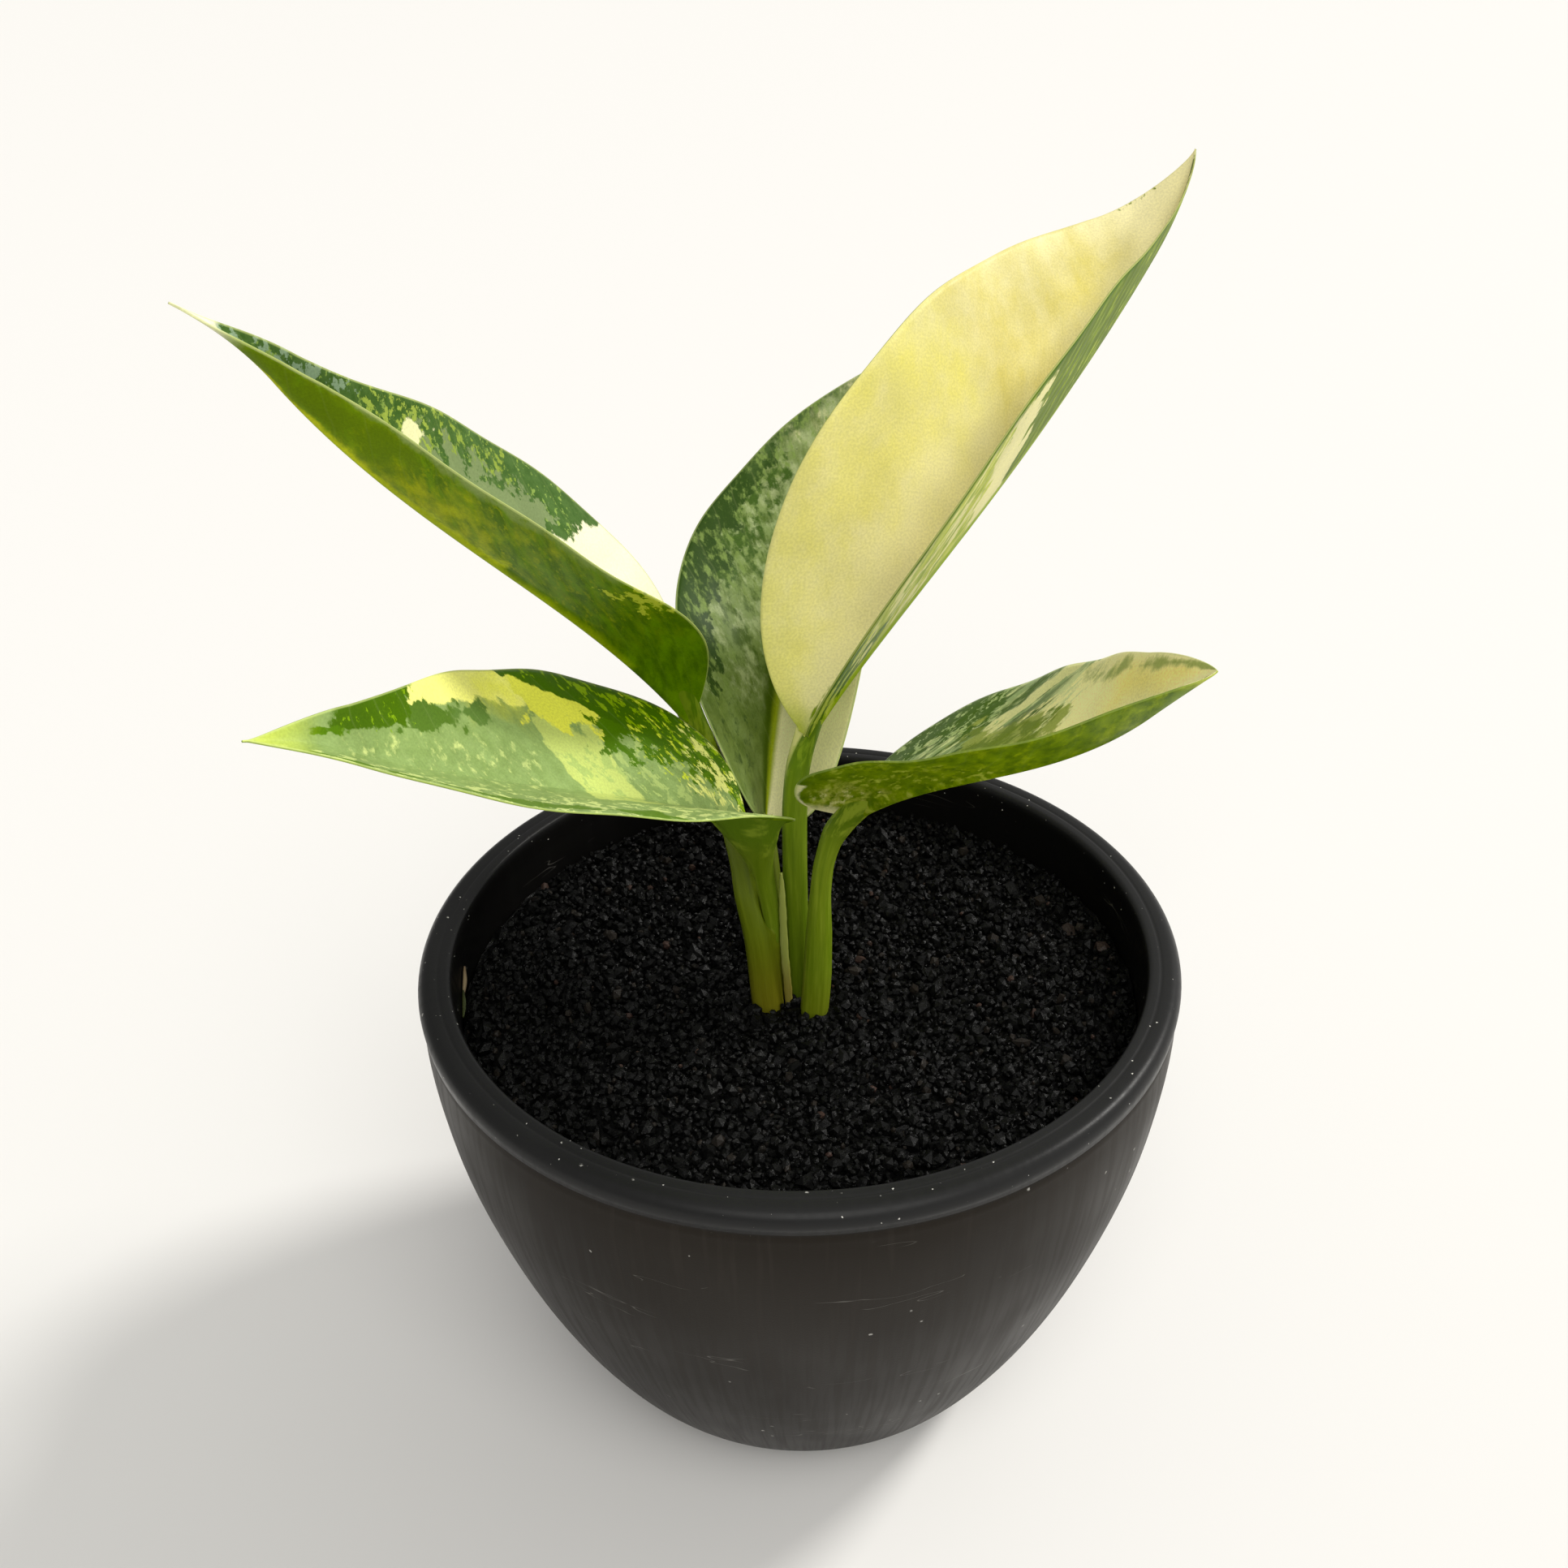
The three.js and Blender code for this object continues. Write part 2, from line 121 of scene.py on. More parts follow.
def calc(tree, operation, *values):
    node = add_node(tree, "Math", {"operation": operation})
    for socket, value in zip(node.inputs, values):
        feed(tree, socket, value)
    return node.outputs[0]


def plus(tree, a, b):
    return calc(tree, "ADD", a, b)


def minus(tree, a, b):
    return calc(tree, "SUBTRACT", a, b)


def times(tree, a, b):
    return calc(tree, "MULTIPLY", a, b)


def smooth(tree, value, low, high, to_low=0.0, to_high=1.0):
    node = add_node(tree, "MapRange", {"interpolation_type": "SMOOTHSTEP"})
    for socket, number in zip(node.inputs, (value, low, high, to_low, to_high)):
        feed(tree, socket, number)
    return node.outputs[0]


def noise(tree, place, scale, detail, roughness=0.5):
    node = add_node(tree, "TexNoise", Vector=place, Scale=scale, Detail=detail, Roughness=roughness)
    return node.outputs[0]


def parts_of(tree, vector):
    return add_node(tree, "SeparateXYZ", Vector=vector).outputs


def surface_map(tree, name):
    return add_node(tree, "UVMap", {"uv_map": name}).outputs[0]


def blend_colours(tree, factor, a, b):
    node = add_node(tree, "Mix", {"data_type": "RGBA"}, Factor=factor)
    feed(tree, node.inputs[6], a)
    feed(tree, node.inputs[7], b)
    return node.outputs[2]


def tint(tree, colour, other, mask, share):
    return blend_colours(tree, times(tree, mask, share), colour, other)


def new_group(name, inputs, outputs):
    group = bpy.data.node_groups.new(name, "ShaderNodeTree")
    for label, value in inputs.items():
        kind = "NodeSocketVector" if value is None else "NodeSocketFloat"
        socket = group.interface.new_socket(label, in_out="INPUT", socket_type=kind)
        if value is not None:
            socket.default_value = value
    for label in outputs:
        group.interface.new_socket(label, in_out="OUTPUT", socket_type="NodeSocketFloat")
    return group, group.nodes.new("NodeGroupInput").outputs, group.nodes.new("NodeGroupOutput").inputs


def use_group(tree, group, **inputs):
    return add_node(tree, "Group", {"node_tree": group}, **inputs).outputs


def new_material(name):
    material = bpy.data.materials.new(name)
    material.use_nodes = True
    return material, material.node_tree, material.node_tree.nodes["Principled BSDF"].inputs


def coat_surface(tree, shader, colour, roughness, height, strength, depth):
    feed(tree, shader["Base Color"], colour)
    feed(tree, shader["Roughness"], roughness)
    bump = add_node(tree, "Bump", Strength=strength, Distance=depth * MM, Height=height)
    feed(tree, shader["Normal"], bump.outputs[0])


print("helpers ready")

# %% [markdown]
# ## Floor and light
#
# A window to the right gives the soft sheen on the rim, and a broad lamp lights the plant from the
# front. The sky that fills the shadows is brighter on the window's side too, so the pot is darker on
# its left, as it is in a room.

# %% Floor and lamps
FLOOR_HALF = 6.0
SKY_SPAN = (-0.8, 0.9)
SKY_STRENGTH = (0.24, 0.66)


def add_lamp(name, direction, strength, softness, colour):
    data = bpy.data.lights.new(name, "SUN")
    data.energy = strength
    data.angle = math.radians(softness)
    data.color = colour
    z = np.array(direction, float)
    z = z / np.linalg.norm(z)
    x = np.cross([0, 0, 1], z)
    x = x / np.linalg.norm(x)
    add_object(name, data).matrix_world = turned_to(x, np.cross(z, x), z)


floor_mesh = bpy.data.meshes.new("floor")
corners = [(-1, -1), (1, -1), (1, 1), (-1, 1)]
floor_mesh.from_pydata([(x * FLOOR_HALF, y * FLOOR_HALF, 0) for x, y in corners], [], [(0, 1, 2, 3)])
floor = add_object("floor", floor_mesh)
floor_material, _, floor_shader = new_material("pale_floor")
floor_shader["Base Color"].default_value = (0.78, 0.77, 0.75, 1)
floor_shader["Roughness"].default_value = 0.9
floor_mesh.materials.append(floor_material)

world = bpy.data.worlds.new("pale_sky")
world.use_nodes = True
sky = world.node_tree
background = sky.nodes["Background"].inputs
background["Color"].default_value = (1.0, 0.99, 0.97, 1)
sideways = parts_of(sky, add_node(sky, "TexCoord").outputs["Generated"])[0]
feed(sky, background["Strength"], smooth(sky, sideways, *SKY_SPAN, *SKY_STRENGTH))
bpy.context.scene.world = world
add_lamp("window", (0.8, 0.35, 0.8), 2.1, 12, (1.0, 0.98, 0.94))
add_lamp("room", (0.1, -0.7, 0.9), 1.6, 45, (1.0, 0.99, 0.96))
bpy.context.scene.view_settings.view_transform = "Standard"
print("floor and lamps are in place")

# %% [markdown]
# ## Shared effects
#
# Variegation is a map of tissue with and without green. Its patches follow the side veins: their
# edges are ragged along the veins and clean across them. So each blade carries two maps, one with the
# place on the blade and one that runs with its side veins, in millimetres. The group below cuts one
# layer of tissue out of those maps, and every leaf stacks several of them with its own numbers. One
# coarse noise frays the outline of the layer, and a finer one breaks it up into flecks.

# %% Tissue layer
OUTLINE_SCALE = 0.33
FLECK_SCALE = 0.62
NOISE_ROUGHNESS = 0.62
# The two halves of a blade read the noise this far apart, so they don't mirror each other.
HALVES_APART = 50.0
# A step across the half blade counts as this share of a step along the whole blade.
SIDEWAYS_SHARE = 0.22


def make_tissue_group():
    inputs = {"Blade": None, "Veins": None, "From": -1.0, "To": 2.0, "Low": -2.0, "High": 2.0, "Lean": 0.0,
              "Ragged": 0.05, "Cover": 2.0, "Size": 2.0, "Stretch": 1.5, "Soft": 0.05, "Seed": 0.0}
    tree, given, result = new_group("tissue_layer", inputs, ["Mask"])
    veins = parts_of(tree, given["Veins"])
    length, side, _ = parts_of(tree, given["Blade"])
    across = calc(tree, "DIVIDE", veins[0], given["Size"])
    along = calc(tree, "DIVIDE", veins[1], times(tree, given["Size"], given["Stretch"]))
    left_half = times(tree, calc(tree, "GREATER_THAN", side, 0.0), HALVES_APART)
    cells = add_node(tree, "CombineXYZ", X=across, Y=along, Z=plus(tree, given["Seed"], left_half)).outputs[0]
    outline = noise(tree, cells, OUTLINE_SCALE, 7.0, NOISE_ROUGHNESS)
    flecks = noise(tree, cells, FLECK_SCALE, 5.0, NOISE_ROUGHNESS)
    place = minus(tree, length, times(tree, given["Lean"], calc(tree, "ABSOLUTE", side)))
    lengthwise = calc(tree, "MINIMUM", minus(tree, place, given["From"]), minus(tree, given["To"], place))
    sideways = calc(tree, "MINIMUM", minus(tree, side, given["Low"]), minus(tree, given["High"], side))
    inside = calc(tree, "MINIMUM", lengthwise, times(tree, sideways, SIDEWAYS_SHARE))
    fray = times(tree, minus(tree, outline, 0.5), 4.0)
    edge = plus(tree, inside, times(tree, fray, given["Ragged"]))
    soft = times(tree, given["Soft"], 0.1)
    patch = smooth(tree, edge, times(tree, soft, -1.0), soft)
    limit = minus(tree, 0.5, times(tree, minus(tree, given["Cover"], 0.5), 0.4))
    half_soft = times(tree, given["Soft"], 0.5)
    fleck = smooth(tree, flecks, minus(tree, limit, half_soft), plus(tree, limit, half_soft))
    tree.links.new(times(tree, patch, fleck), result["Mask"])
    return tree


tissue_layer = make_tissue_group()


def tissue(tree, blade, veins, **values):
    return use_group(tree, tissue_layer, Blade=blade, Veins=veins, **values)["Mask"]


print("tissue layer inputs:", [i.name for i in tissue_layer.interface.items_tree])

# %% [markdown]
# The side veins show as faint lines that part the blade every few millimetres. They are fine enough
# to be left to the shader: one group gives their lines and the height of the tissue between them.

# %% Vein lines
def make_vein_group():
    inputs = {"Veins": None, "Spacing": 6.0, "Width": 0.35, "Swell": 0.6, "Pores": 1.0}
    tree, given, result = new_group("vein_lines", inputs, ["Line", "Height"])
    wander = times(tree, noise(tree, given["Veins"], 0.09, 1.0), 4.0)
    across = plus(tree, parts_of(tree, given["Veins"])[0], wander)
    turn_of_wave = times(tree, calc(tree, "DIVIDE", across, given["Spacing"]), math.pi)
    wave = calc(tree, "ABSOLUTE", calc(tree, "SINE", turn_of_wave))
    narrow = calc(tree, "DIVIDE", given["Width"], given["Spacing"])
    line = smooth(tree, wave, 0.0, times(tree, narrow, math.pi), 1.0, 0.0)
    pores = times(tree, noise(tree, given["Veins"], 3.5, 2.0), 0.12)
    height = plus(tree, times(tree, wave, given["Swell"]), times(tree, pores, given["Pores"]))
    tree.links.new(line, result["Line"])
    tree.links.new(height, result["Height"])
    return tree


vein_lines = make_vein_group()
print("vein lines ready")

# %% [markdown]
# ## The form of a leaf
#
# A blade is a ribbon that is folded up along its midrib. Its midrib is walked from base to tip while
# three angles change: where it heads, how steeply it climbs and how far it rolls over. The blade's
# width follows a smooth law that is full near the base and tapers to a drip tip. The same law made
# the plain model, so the fine leaf lies where the plain one does.

# %% Leaf measures
# Angles are in degrees at the blade's base, middle and tip. Stalk points are x, y, z and radius.
LEAVES = {
    "leaf_upper_left": {
        "base": (-20.7, 7.5, 165), "heading": (199, 210, 216), "climb": (57, 46, 69.5),
        "tip_bend": -34, "length": 128, "half_width": 26.2, "fullness": 0.78, "taper": 1.57,
        "fold": (59, 38, 109), "roll": (6, -10, -23), "lobe": -2.6, "ripple": 0.3, "lean": 0.34,
        "stalk": ((-5.6, -5.2, 86.9, 2.8), (-6.9, -5.6, 101, 3.5), (-8.2, -3.8, 118, 3.6),
                  (-9.9, -1.4, 127, 3.6), (-11.1, 1.6, 133.5, 3.2), (-13.3, 5.6, 141, 2.9),
                  (-15.6, 8.2, 149.2, 2.7), (-18.6, 8.5, 157.6, 2.4)),
    },
    "leaf_lower_left": {
        "base": (-9.7, -9, 150), "heading": (216, 222, 225), "climb": (35, 29.5, 44.5),
        "tip_bend": -24.5, "length": 112.8, "half_width": 28.6, "fullness": 0.61, "taper": 1.32,
        "fold": (35, 24, 48.5), "roll": (-6.5, -12.5, -42.5), "lobe": 3.2, "ripple": 0.35, "lean": 0.2,
        "stalk": ((-4.9, -3.5, 86.9, 1.6), (-5.1, -3.8, 104, 1.8), (-5.3, -4.2, 118.4, 1.9),
                  (-5.8, -4.8, 125.3, 1.9), (-6.6, -5.8, 132.2, 2.1), (-7.6, -7.2, 139.4, 2.3),
                  (-8.9, -8.8, 145.6, 2.4)),
    },
    "leaf_back": {
        "base": (-6.4, 9.5, 138.3), "heading": (83, 70.5, 48.5), "climb": (44, 35.5, 24.5),
        "tip_bend": 1, "length": 125, "half_width": 27, "fullness": 0.56, "taper": 1.0,
        "fold": (67, 30, 26), "roll": (28.5, -10, 6.5), "lobe": 6, "ripple": 0.35, "lean": 0.3,
        "stalk": ((-3.4, 2.6, 86.9, 1.8), (-4.4, 4.6, 103, 2.0), (-5.2, 6.8, 120.5, 2.0),
                  (-5.9, 8.4, 130.5, 1.9)),
    },
    "leaf_upper_right": {
        "base": (1.6, -5.2, 167.7), "heading": (20.5, 50.5, 38), "climb": (55, 26.5, 55),
        "tip_bend": 19, "length": 153.3, "half_width": 37.4, "fullness": 0.74, "taper": 1.08,
        "fold": (45, 64.5, 37.5), "roll": (5, 2, -17), "lobe": 1.1, "ripple": 0.35, "lean": 0.3,
        "stalk": ((-0.3, -2.0, 86.9, 2.2), (-0.4, -2.2, 104.6, 2.5), (-0.3, -2.5, 114.7, 2.5),
                  (-0.5, -2.8, 127.9, 2.6), (-0.5, -3.4, 140.6, 2.6), (-0.3, -4.2, 151, 2.6),
                  (0.5, -4.9, 160.5, 2.4)),
    },
    "leaf_right": {
        "base": (10.6, -11.7, 153.3), "heading": (318, 312.5, 319.5), "climb": (44, 32.5, 62.5),
        "tip_bend": -15.5, "length": 95.5, "half_width": 24.2, "fullness": 0.49, "taper": 0.8,
        "fold": (32, 28, 42), "roll": (-7.5, 2, 17), "lobe": 4.4, "ripple": 0.3, "lean": 0.4,
        "stalk": ((1.6, -6.8, 86.9, 2.6), (3.2, -8.4, 102, 3.1), (3.8, -8.7, 111, 3.1),
                  (4.2, -9.0, 121.8, 2.8), (4.6, -9.6, 132.7, 2.2), (5.5, -10.2, 141, 2.1),
                  (7.6, -10.9, 148, 2.1)),
    },
}
STEEPEST_FOLD = 72
KEEL_ROUNDING = 1.2
LOBE_REACH = 0.07
TIP_STRETCH = 0.16
RIPPLES = 4
RIB_DEPTH = 1.7
RIB_HALF_WIDTH = 1.8
BLADE_THICKNESS = 0.7
print(len(LEAVES), "leaves, blades", [leaf["length"] for leaf in LEAVES.values()], "mm long")

# %% Blade surface


def at(values, t):
    base, middle, tip = values
    return base * (1 - t) * (1 - 2 * t) + middle * 4 * t * (1 - t) + tip * t * (2 * t - 1)


def blade_axes(leaf, t):
    stretch = np.clip((t - 1 + TIP_STRETCH) / TIP_STRETCH, 0, 1)
    heading = np.radians(at(leaf["heading"], t))
    climb = np.radians(at(leaf["climb"], t) + leaf["tip_bend"] * stretch)
    roll = np.radians(at(leaf["roll"], t))[:, None]
    ahead = np.stack([np.cos(climb) * np.cos(heading), np.cos(climb) * np.sin(heading), np.sin(climb)], 1)
    flat = np.stack([-np.sin(heading), np.cos(heading), 0 * heading], 1)
    side = np.cos(roll) * flat + np.sin(roll) * np.cross(ahead, flat)
    return ahead, side, np.cross(ahead, side)


def half_width(leaf, t):
    widest = leaf["fullness"] / (leaf["fullness"] + leaf["taper"])
    inside = np.clip(t, 0, 1)
    shape = inside ** leaf["fullness"] * (1 - inside) ** leaf["taper"]
    peak = widest ** leaf["fullness"] * (1 - widest) ** leaf["taper"]
    return np.maximum(0.15 + 1.45 * (1 - t), leaf["half_width"] * shape / peak)


def blade_points(leaf, t, q):
    steps = 240
    middles = (np.arange(steps) + 0.5) / steps
    walked = np.cumsum(blade_axes(leaf, middles)[0] * leaf["length"] / steps, 0)
    walked = np.vstack([[0, 0, 0], walked]) + np.array(leaf["base"])
    marks = np.linspace(0, 1, steps + 1)
    midrib = np.stack([np.interp(t, marks, walked[:, k]) for k in range(3)], 1)
    ahead, side, up = blade_axes(leaf, t)
    fold = np.radians(np.minimum(STEEPEST_FOLD, at(leaf["fold"], t)))[:, None]
    reach = half_width(leaf, t)[:, None] * np.abs(q)
    outward = 0 * reach
    lifted = 0 * reach
    slices = 12
    for i in range(slices):
        angle = fold * (1 - np.exp(-reach * (i + 0.5) / slices / KEEL_ROUNDING))
        outward = outward + np.cos(angle) * reach / slices
        lifted = lifted + np.sin(angle) * reach / slices
    backward = leaf["lobe"] * (t / LOBE_REACH) * np.exp(1 - t / LOBE_REACH)
    wave = np.sin(2 * math.pi * (RIPPLES * t[:, None] + 0.25 * np.sign(q)))
    lifted = lifted + leaf["ripple"] * q ** 2 * np.sin(math.pi * t)[:, None] * wave
    return (midrib[:, None] + (np.sign(q) * outward)[..., None] * side[:, None]
            + lifted[..., None] * up[:, None] - (backward[:, None] * np.abs(q))[..., None] * ahead[:, None])


trial = LEAVES["leaf_upper_right"]
reach = np.ptp(blade_points(trial, np.linspace(0, 1, 50), np.linspace(-1, 1, 21)), axis=(0, 1))
print("the largest blade spans", np.round(reach, 1), "mm")

# %% [markdown]
# A blade has an upper and a lower face. They are offset from its middle surface, thin out to a fine
# edge and swell into a rib below the midrib. The upper face sinks a little along the midrib. Each
# corner of the mesh is given its place on the blade and its place between the side veins.
# Points that lie on each other, where a turned form closes and at its poles, are joined.

# %% Mesh helpers
WELD_DISTANCE = 0.0001


def weld(mesh):
    """Joins the points that lie on each other, where a turned form closes and at its poles."""
    work = bmesh.new()
    work.from_mesh(mesh)
    bmesh.ops.remove_doubles(work, verts=work.verts, dist=WELD_DISTANCE * MM)
    work.to_mesh(mesh)
    work.free()


def mesh_object(name, points, faces, maps=None, slots=None, smooth_faces=True):
    mesh = bpy.data.meshes.new(name)
    points = np.asarray(points, float) * MM
    faces = np.asarray(faces, np.int32)
    sides = faces.shape[1]
    mesh.vertices.add(len(points))
    mesh.vertices.foreach_set("co", points.ravel())
    mesh.loops.add(faces.size)
    mesh.loops.foreach_set("vertex_index", faces.ravel())
    mesh.polygons.add(len(faces))
    mesh.polygons.foreach_set("loop_start", np.arange(len(faces), dtype=np.int32) * sides)
    if slots is not None:
        mesh.polygons.foreach_set("material_index", np.asarray(slots, np.int32))
    mesh.polygons.foreach_set("use_smooth", np.full(len(faces), smooth_faces))
    for label, values in (maps or {}).items():
        layer = mesh.uv_layers.new(name=label)
        layer.data.foreach_set("uv", np.asarray(values, np.float32)[faces.ravel()].ravel())
    mesh.update(calc_edges=True)
    weld(mesh)
    mesh.validate()
    return add_object(name, mesh)


def grid_faces(rows, columns, start=0, flip=False):
    i, j = np.meshgrid(np.arange(rows - 1), np.arange(columns - 1), indexing="ij")
    a = (start + i * columns + j).ravel()
    quads = np.stack([a, a + columns, a + columns + 1, a + 1], 1)
    return quads[:, ::-1] if flip else quads


def rim_faces(rows, columns, lower_start):
    loop = [(0, j) for j in range(columns - 1)] + [(i, columns - 1) for i in range(rows - 1)]
    loop += [(rows - 1, j) for j in range(columns - 1, 0, -1)] + [(i, 0) for i in range(rows - 1, 0, -1)]
    ids = np.array([i * columns + j for i, j in loop])
    after = np.roll(ids, -1)
    return np.stack([ids, after, after + lower_start, ids + lower_start], 1)


def pair(*values):
    return np.stack(np.broadcast_arrays(*values), -1)


def sheets(upper, lower):
    """Points and faces of a closed sheet with two sides."""
    rows, columns = upper.shape[:2]
    count = rows * columns
    faces = [grid_faces(rows, columns), grid_faces(rows, columns, count, True)]
    faces.append(rim_faces(rows, columns, count))
    return np.vstack([upper.reshape(-1, 3), lower.reshape(-1, 3)]), np.vstack(faces)


def sheet_maps(**maps):
    return {label: np.vstack([values.reshape(-1, 2)] * 2) for label, values in maps.items()}


print("mesh helpers ready")

# %% Blade mesh
STATIONS = 150
COLUMNS = 71
GROOVE_DEPTH = 0.22
GROOVE_HALF_WIDTH = 0.7


def face_normals(points):
    lengthwise = np.gradient(points, axis=0)
    crosswise = np.gradient(points, axis=1)
    normal = np.cross(lengthwise, crosswise)
    return normal / np.maximum(1e-9, np.linalg.norm(normal, axis=-1, keepdims=True))


def along_veins(leaf, t, arc):
    """Millimetres across and along the side veins, which lean towards the tip."""
    lean = leaf["lean"] * leaf["length"] / leaf["half_width"]
    ahead = t * leaf["length"]
    outward = np.abs(arc)
    return np.stack([ahead - lean * outward, lean * ahead + outward], -1) / math.hypot(1, lean)


def make_blade(leaf):
    t = 0.5 - 0.5 * np.cos(np.linspace(0, math.pi, STATIONS))
    spread = np.linspace(-1, 1, COLUMNS)
    q = np.sign(spread) * np.abs(spread) ** 1.25
    middle = blade_points(leaf, t, q)
    normal = face_normals(middle)
    arc = half_width(leaf, t)[:, None] * q
    t = t[:, None]
    rib = RIB_DEPTH * (1 - t) * np.exp(-(arc / (RIB_HALF_WIDTH * (1 - 0.7 * t))) ** 2)
    thin = 0.35 + 0.65 * np.sqrt(np.clip(1 - np.abs(q) ** 8, 0, 1))
    half = 0.5 * BLADE_THICKNESS * thin * (1 - 0.5 * t ** 8)
    groove = GROOVE_DEPTH * np.exp(-(arc / GROOVE_HALF_WIDTH) ** 2) * (1 - t)
    points, faces = sheets(middle + normal * (half - groove)[..., None],
                           middle - normal * (half + rib)[..., None])
    to_rim = np.abs(arc[:, -1:]) - np.abs(arc)
    maps = sheet_maps(blade=pair(t, q), veins=along_veins(leaf, t + 0 * arc, arc), rim=pair(to_rim, arc))
    each = (STATIONS - 1) * (COLUMNS - 1)
    return points, faces, maps, np.arange(len(faces)) >= each


print("a blade has", 4 * STATIONS * COLUMNS, "triangles")

# %% [markdown]
# ## Stalks
#
# A stalk is a round tube on a smooth curve. It thickens where it wraps its neighbour, and its end
# flares into the blade's under side like a funnel, because the blade's two margins run down into it.
# Its points are the plain model's, and the curve that joins them is the same one, so the stalks stay
# clear of each other.

# %% Stalk tubes
STALK_SIDES = 28
STALK_STEPS = 20
FLUTING = 0.03
SINK_INTO_RIB = 0.9
LAST_NARROWING = 0.85
SHEATH_GAP = 0.15
# How deep a funnel is, its length along the midrib, and its reach to the left and to the right.
FUNNELS = {
    "leaf_upper_left": (15, 12, 6, 6),
    "leaf_lower_left": (17, 15, 20, 6.5),
    "leaf_back": (6, 5, 2.4, 2.4),
    "leaf_upper_right": (11, 10, 3.4, 3.4),
    "leaf_right": (13, 13, 6, 6),
}


def smooth_curve(points, steps):
    """Points on the centripetal curve through the given ones, with their place between them."""
    p = np.vstack([2 * points[0] - points[1], points, 2 * points[-1] - points[-2]])
    found = []
    for k in range(1, len(p) - 2):
        p0, p1, p2, p3 = p[k - 1:k + 3]
        d0, d1, d2 = (np.sqrt(np.linalg.norm(b - a)) for a, b in ((p0, p1), (p1, p2), (p2, p3)))
        m1 = d1 * ((p1 - p0) / d0 - (p2 - p0) / (d0 + d1) + (p2 - p1) / d1)
        m2 = d1 * ((p2 - p1) / d1 - (p3 - p1) / (d1 + d2) + (p3 - p2) / d2)
        squared = -3 * p1 + 3 * p2 - 2 * m1 - m2
        cubed = 2 * p1 - 2 * p2 + m1 + m2
        for u in np.arange(steps) / steps:
            found.append(np.append(p1 + m1 * u + squared * u ** 2 + cubed * u ** 3, k - 1 + u))
    found.append(np.append(points[-1], len(points) - 1))
    return np.array(found)


def tube(points, radii, steps, sides, fluting=0.0):
    path = smooth_curve(np.asarray(points, float), steps)
    centre = path[:, :3]
    radius = np.interp(path[:, 3], np.arange(len(radii)), radii)
    ahead = np.gradient(centre, axis=0)
    ahead = ahead / np.linalg.norm(ahead, axis=1, keepdims=True)
    first = np.cross(ahead, [0.0, 1.0, 0.0])
    first = first / np.linalg.norm(first, axis=1, keepdims=True)
    second = np.cross(ahead, first)
    angle = np.linspace(0, 2 * math.pi, sides + 1)
    fluted = 1 - fluting * (0.5 + 0.5 * np.cos(5 * angle))
    ring = (np.cos(angle)[None, :, None] * first[:, None] + np.sin(angle)[None, :, None] * second[:, None])
    surface = centre[:, None] + ring * (radius[:, None] * fluted)[..., None]
    length = np.append(0, np.cumsum(np.linalg.norm(np.diff(centre, axis=0), axis=1)))
    around = pair(angle * radius.mean(), length[:, None])
    place = pair(length[:, None] / length[-1], angle / math.pi - 1)
    return surface, place, around


def funnel_loop(leaf, toward, length, left, right):
    """A loop on the blade's under side, one point for each direction round the stalk's end."""
    ahead, side, _ = (axis[0] for axis in blade_axes(leaf, np.array([0.02])))
    angle = np.arctan2(toward @ side, toward @ ahead)
    t = length / leaf["length"] * (0.5 + 0.5 * np.cos(angle))
    reach = np.where(np.sin(angle) > 0, left, right)
    arc = np.sin(angle) * np.minimum(reach, 0.94 * half_width(leaf, t))
    q = arc / half_width(leaf, t)
    loop = np.stack([blade_points(leaf, t[k:k + 1], q[k:k + 1])[0, 0] for k in range(len(t))])
    return loop, np.sin(angle)


def stalk_line(leaf, end, narrowing=1.0):
    radii = [place[3] for place in leaf["stalk"]]
    points = [place[:3] for place in leaf["stalk"]] + [end]
    return np.array(points, float), radii + [narrowing * radii[-1]]


def make_stalk(leaf, funnel):
    """The stalk's rings, their place along and beside the stalk, and their place on its skin."""
    up = blade_axes(leaf, np.array([0.0]))[2][0]
    points, radii = stalk_line(leaf, np.array(leaf["base"]) - SINK_INTO_RIB * up, LAST_NARROWING)
    surface, place, around = tube(points, radii, STALK_STEPS, STALK_SIDES, FLUTING)
    end = surface[-1]
    depth, *sizes = funnel
    loop, beside = funnel_loop(leaf, end - end[:-1].mean(0), *sizes)
    rest = np.linalg.norm(np.diff(surface.mean(1), axis=0), axis=1)[::-1].cumsum()[::-1]
    rise = np.clip(1 - np.append(rest, 0) / depth, 0, 1)[:, None, None]
    share = 0.4 * rise ** 2 + 0.6 * (1 - np.sqrt(1 - rise ** 2))
    place[:, :, 1] = beside
    return surface + share * (loop - end), place, around


def keep_clear(surface, other):
    """Pushes the points that lie within another stalk out to its skin, as a sheath wraps a stalk."""
    points, radii = stalk_line(other, other["base"])
    path = smooth_curve(points, 12)
    radius = np.interp(path[:, 3], np.arange(len(radii)), radii) + SHEATH_GAP
    flat = surface.reshape(-1, 3)
    gaps = flat[:, None] - path[None, :, :3]
    distance = np.linalg.norm(gaps, axis=2)
    nearest = np.argmin(distance - radius[None], axis=1)
    rows = np.arange(len(flat))
    short = np.clip(radius[nearest] - distance[rows, nearest], 0, None)
    away = gaps[rows, nearest] / distance[rows, nearest][:, None]
    return (flat + away * short[:, None]).reshape(surface.shape)


print("funnels, deepest first:", sorted(FUNNELS.values(), reverse=True))

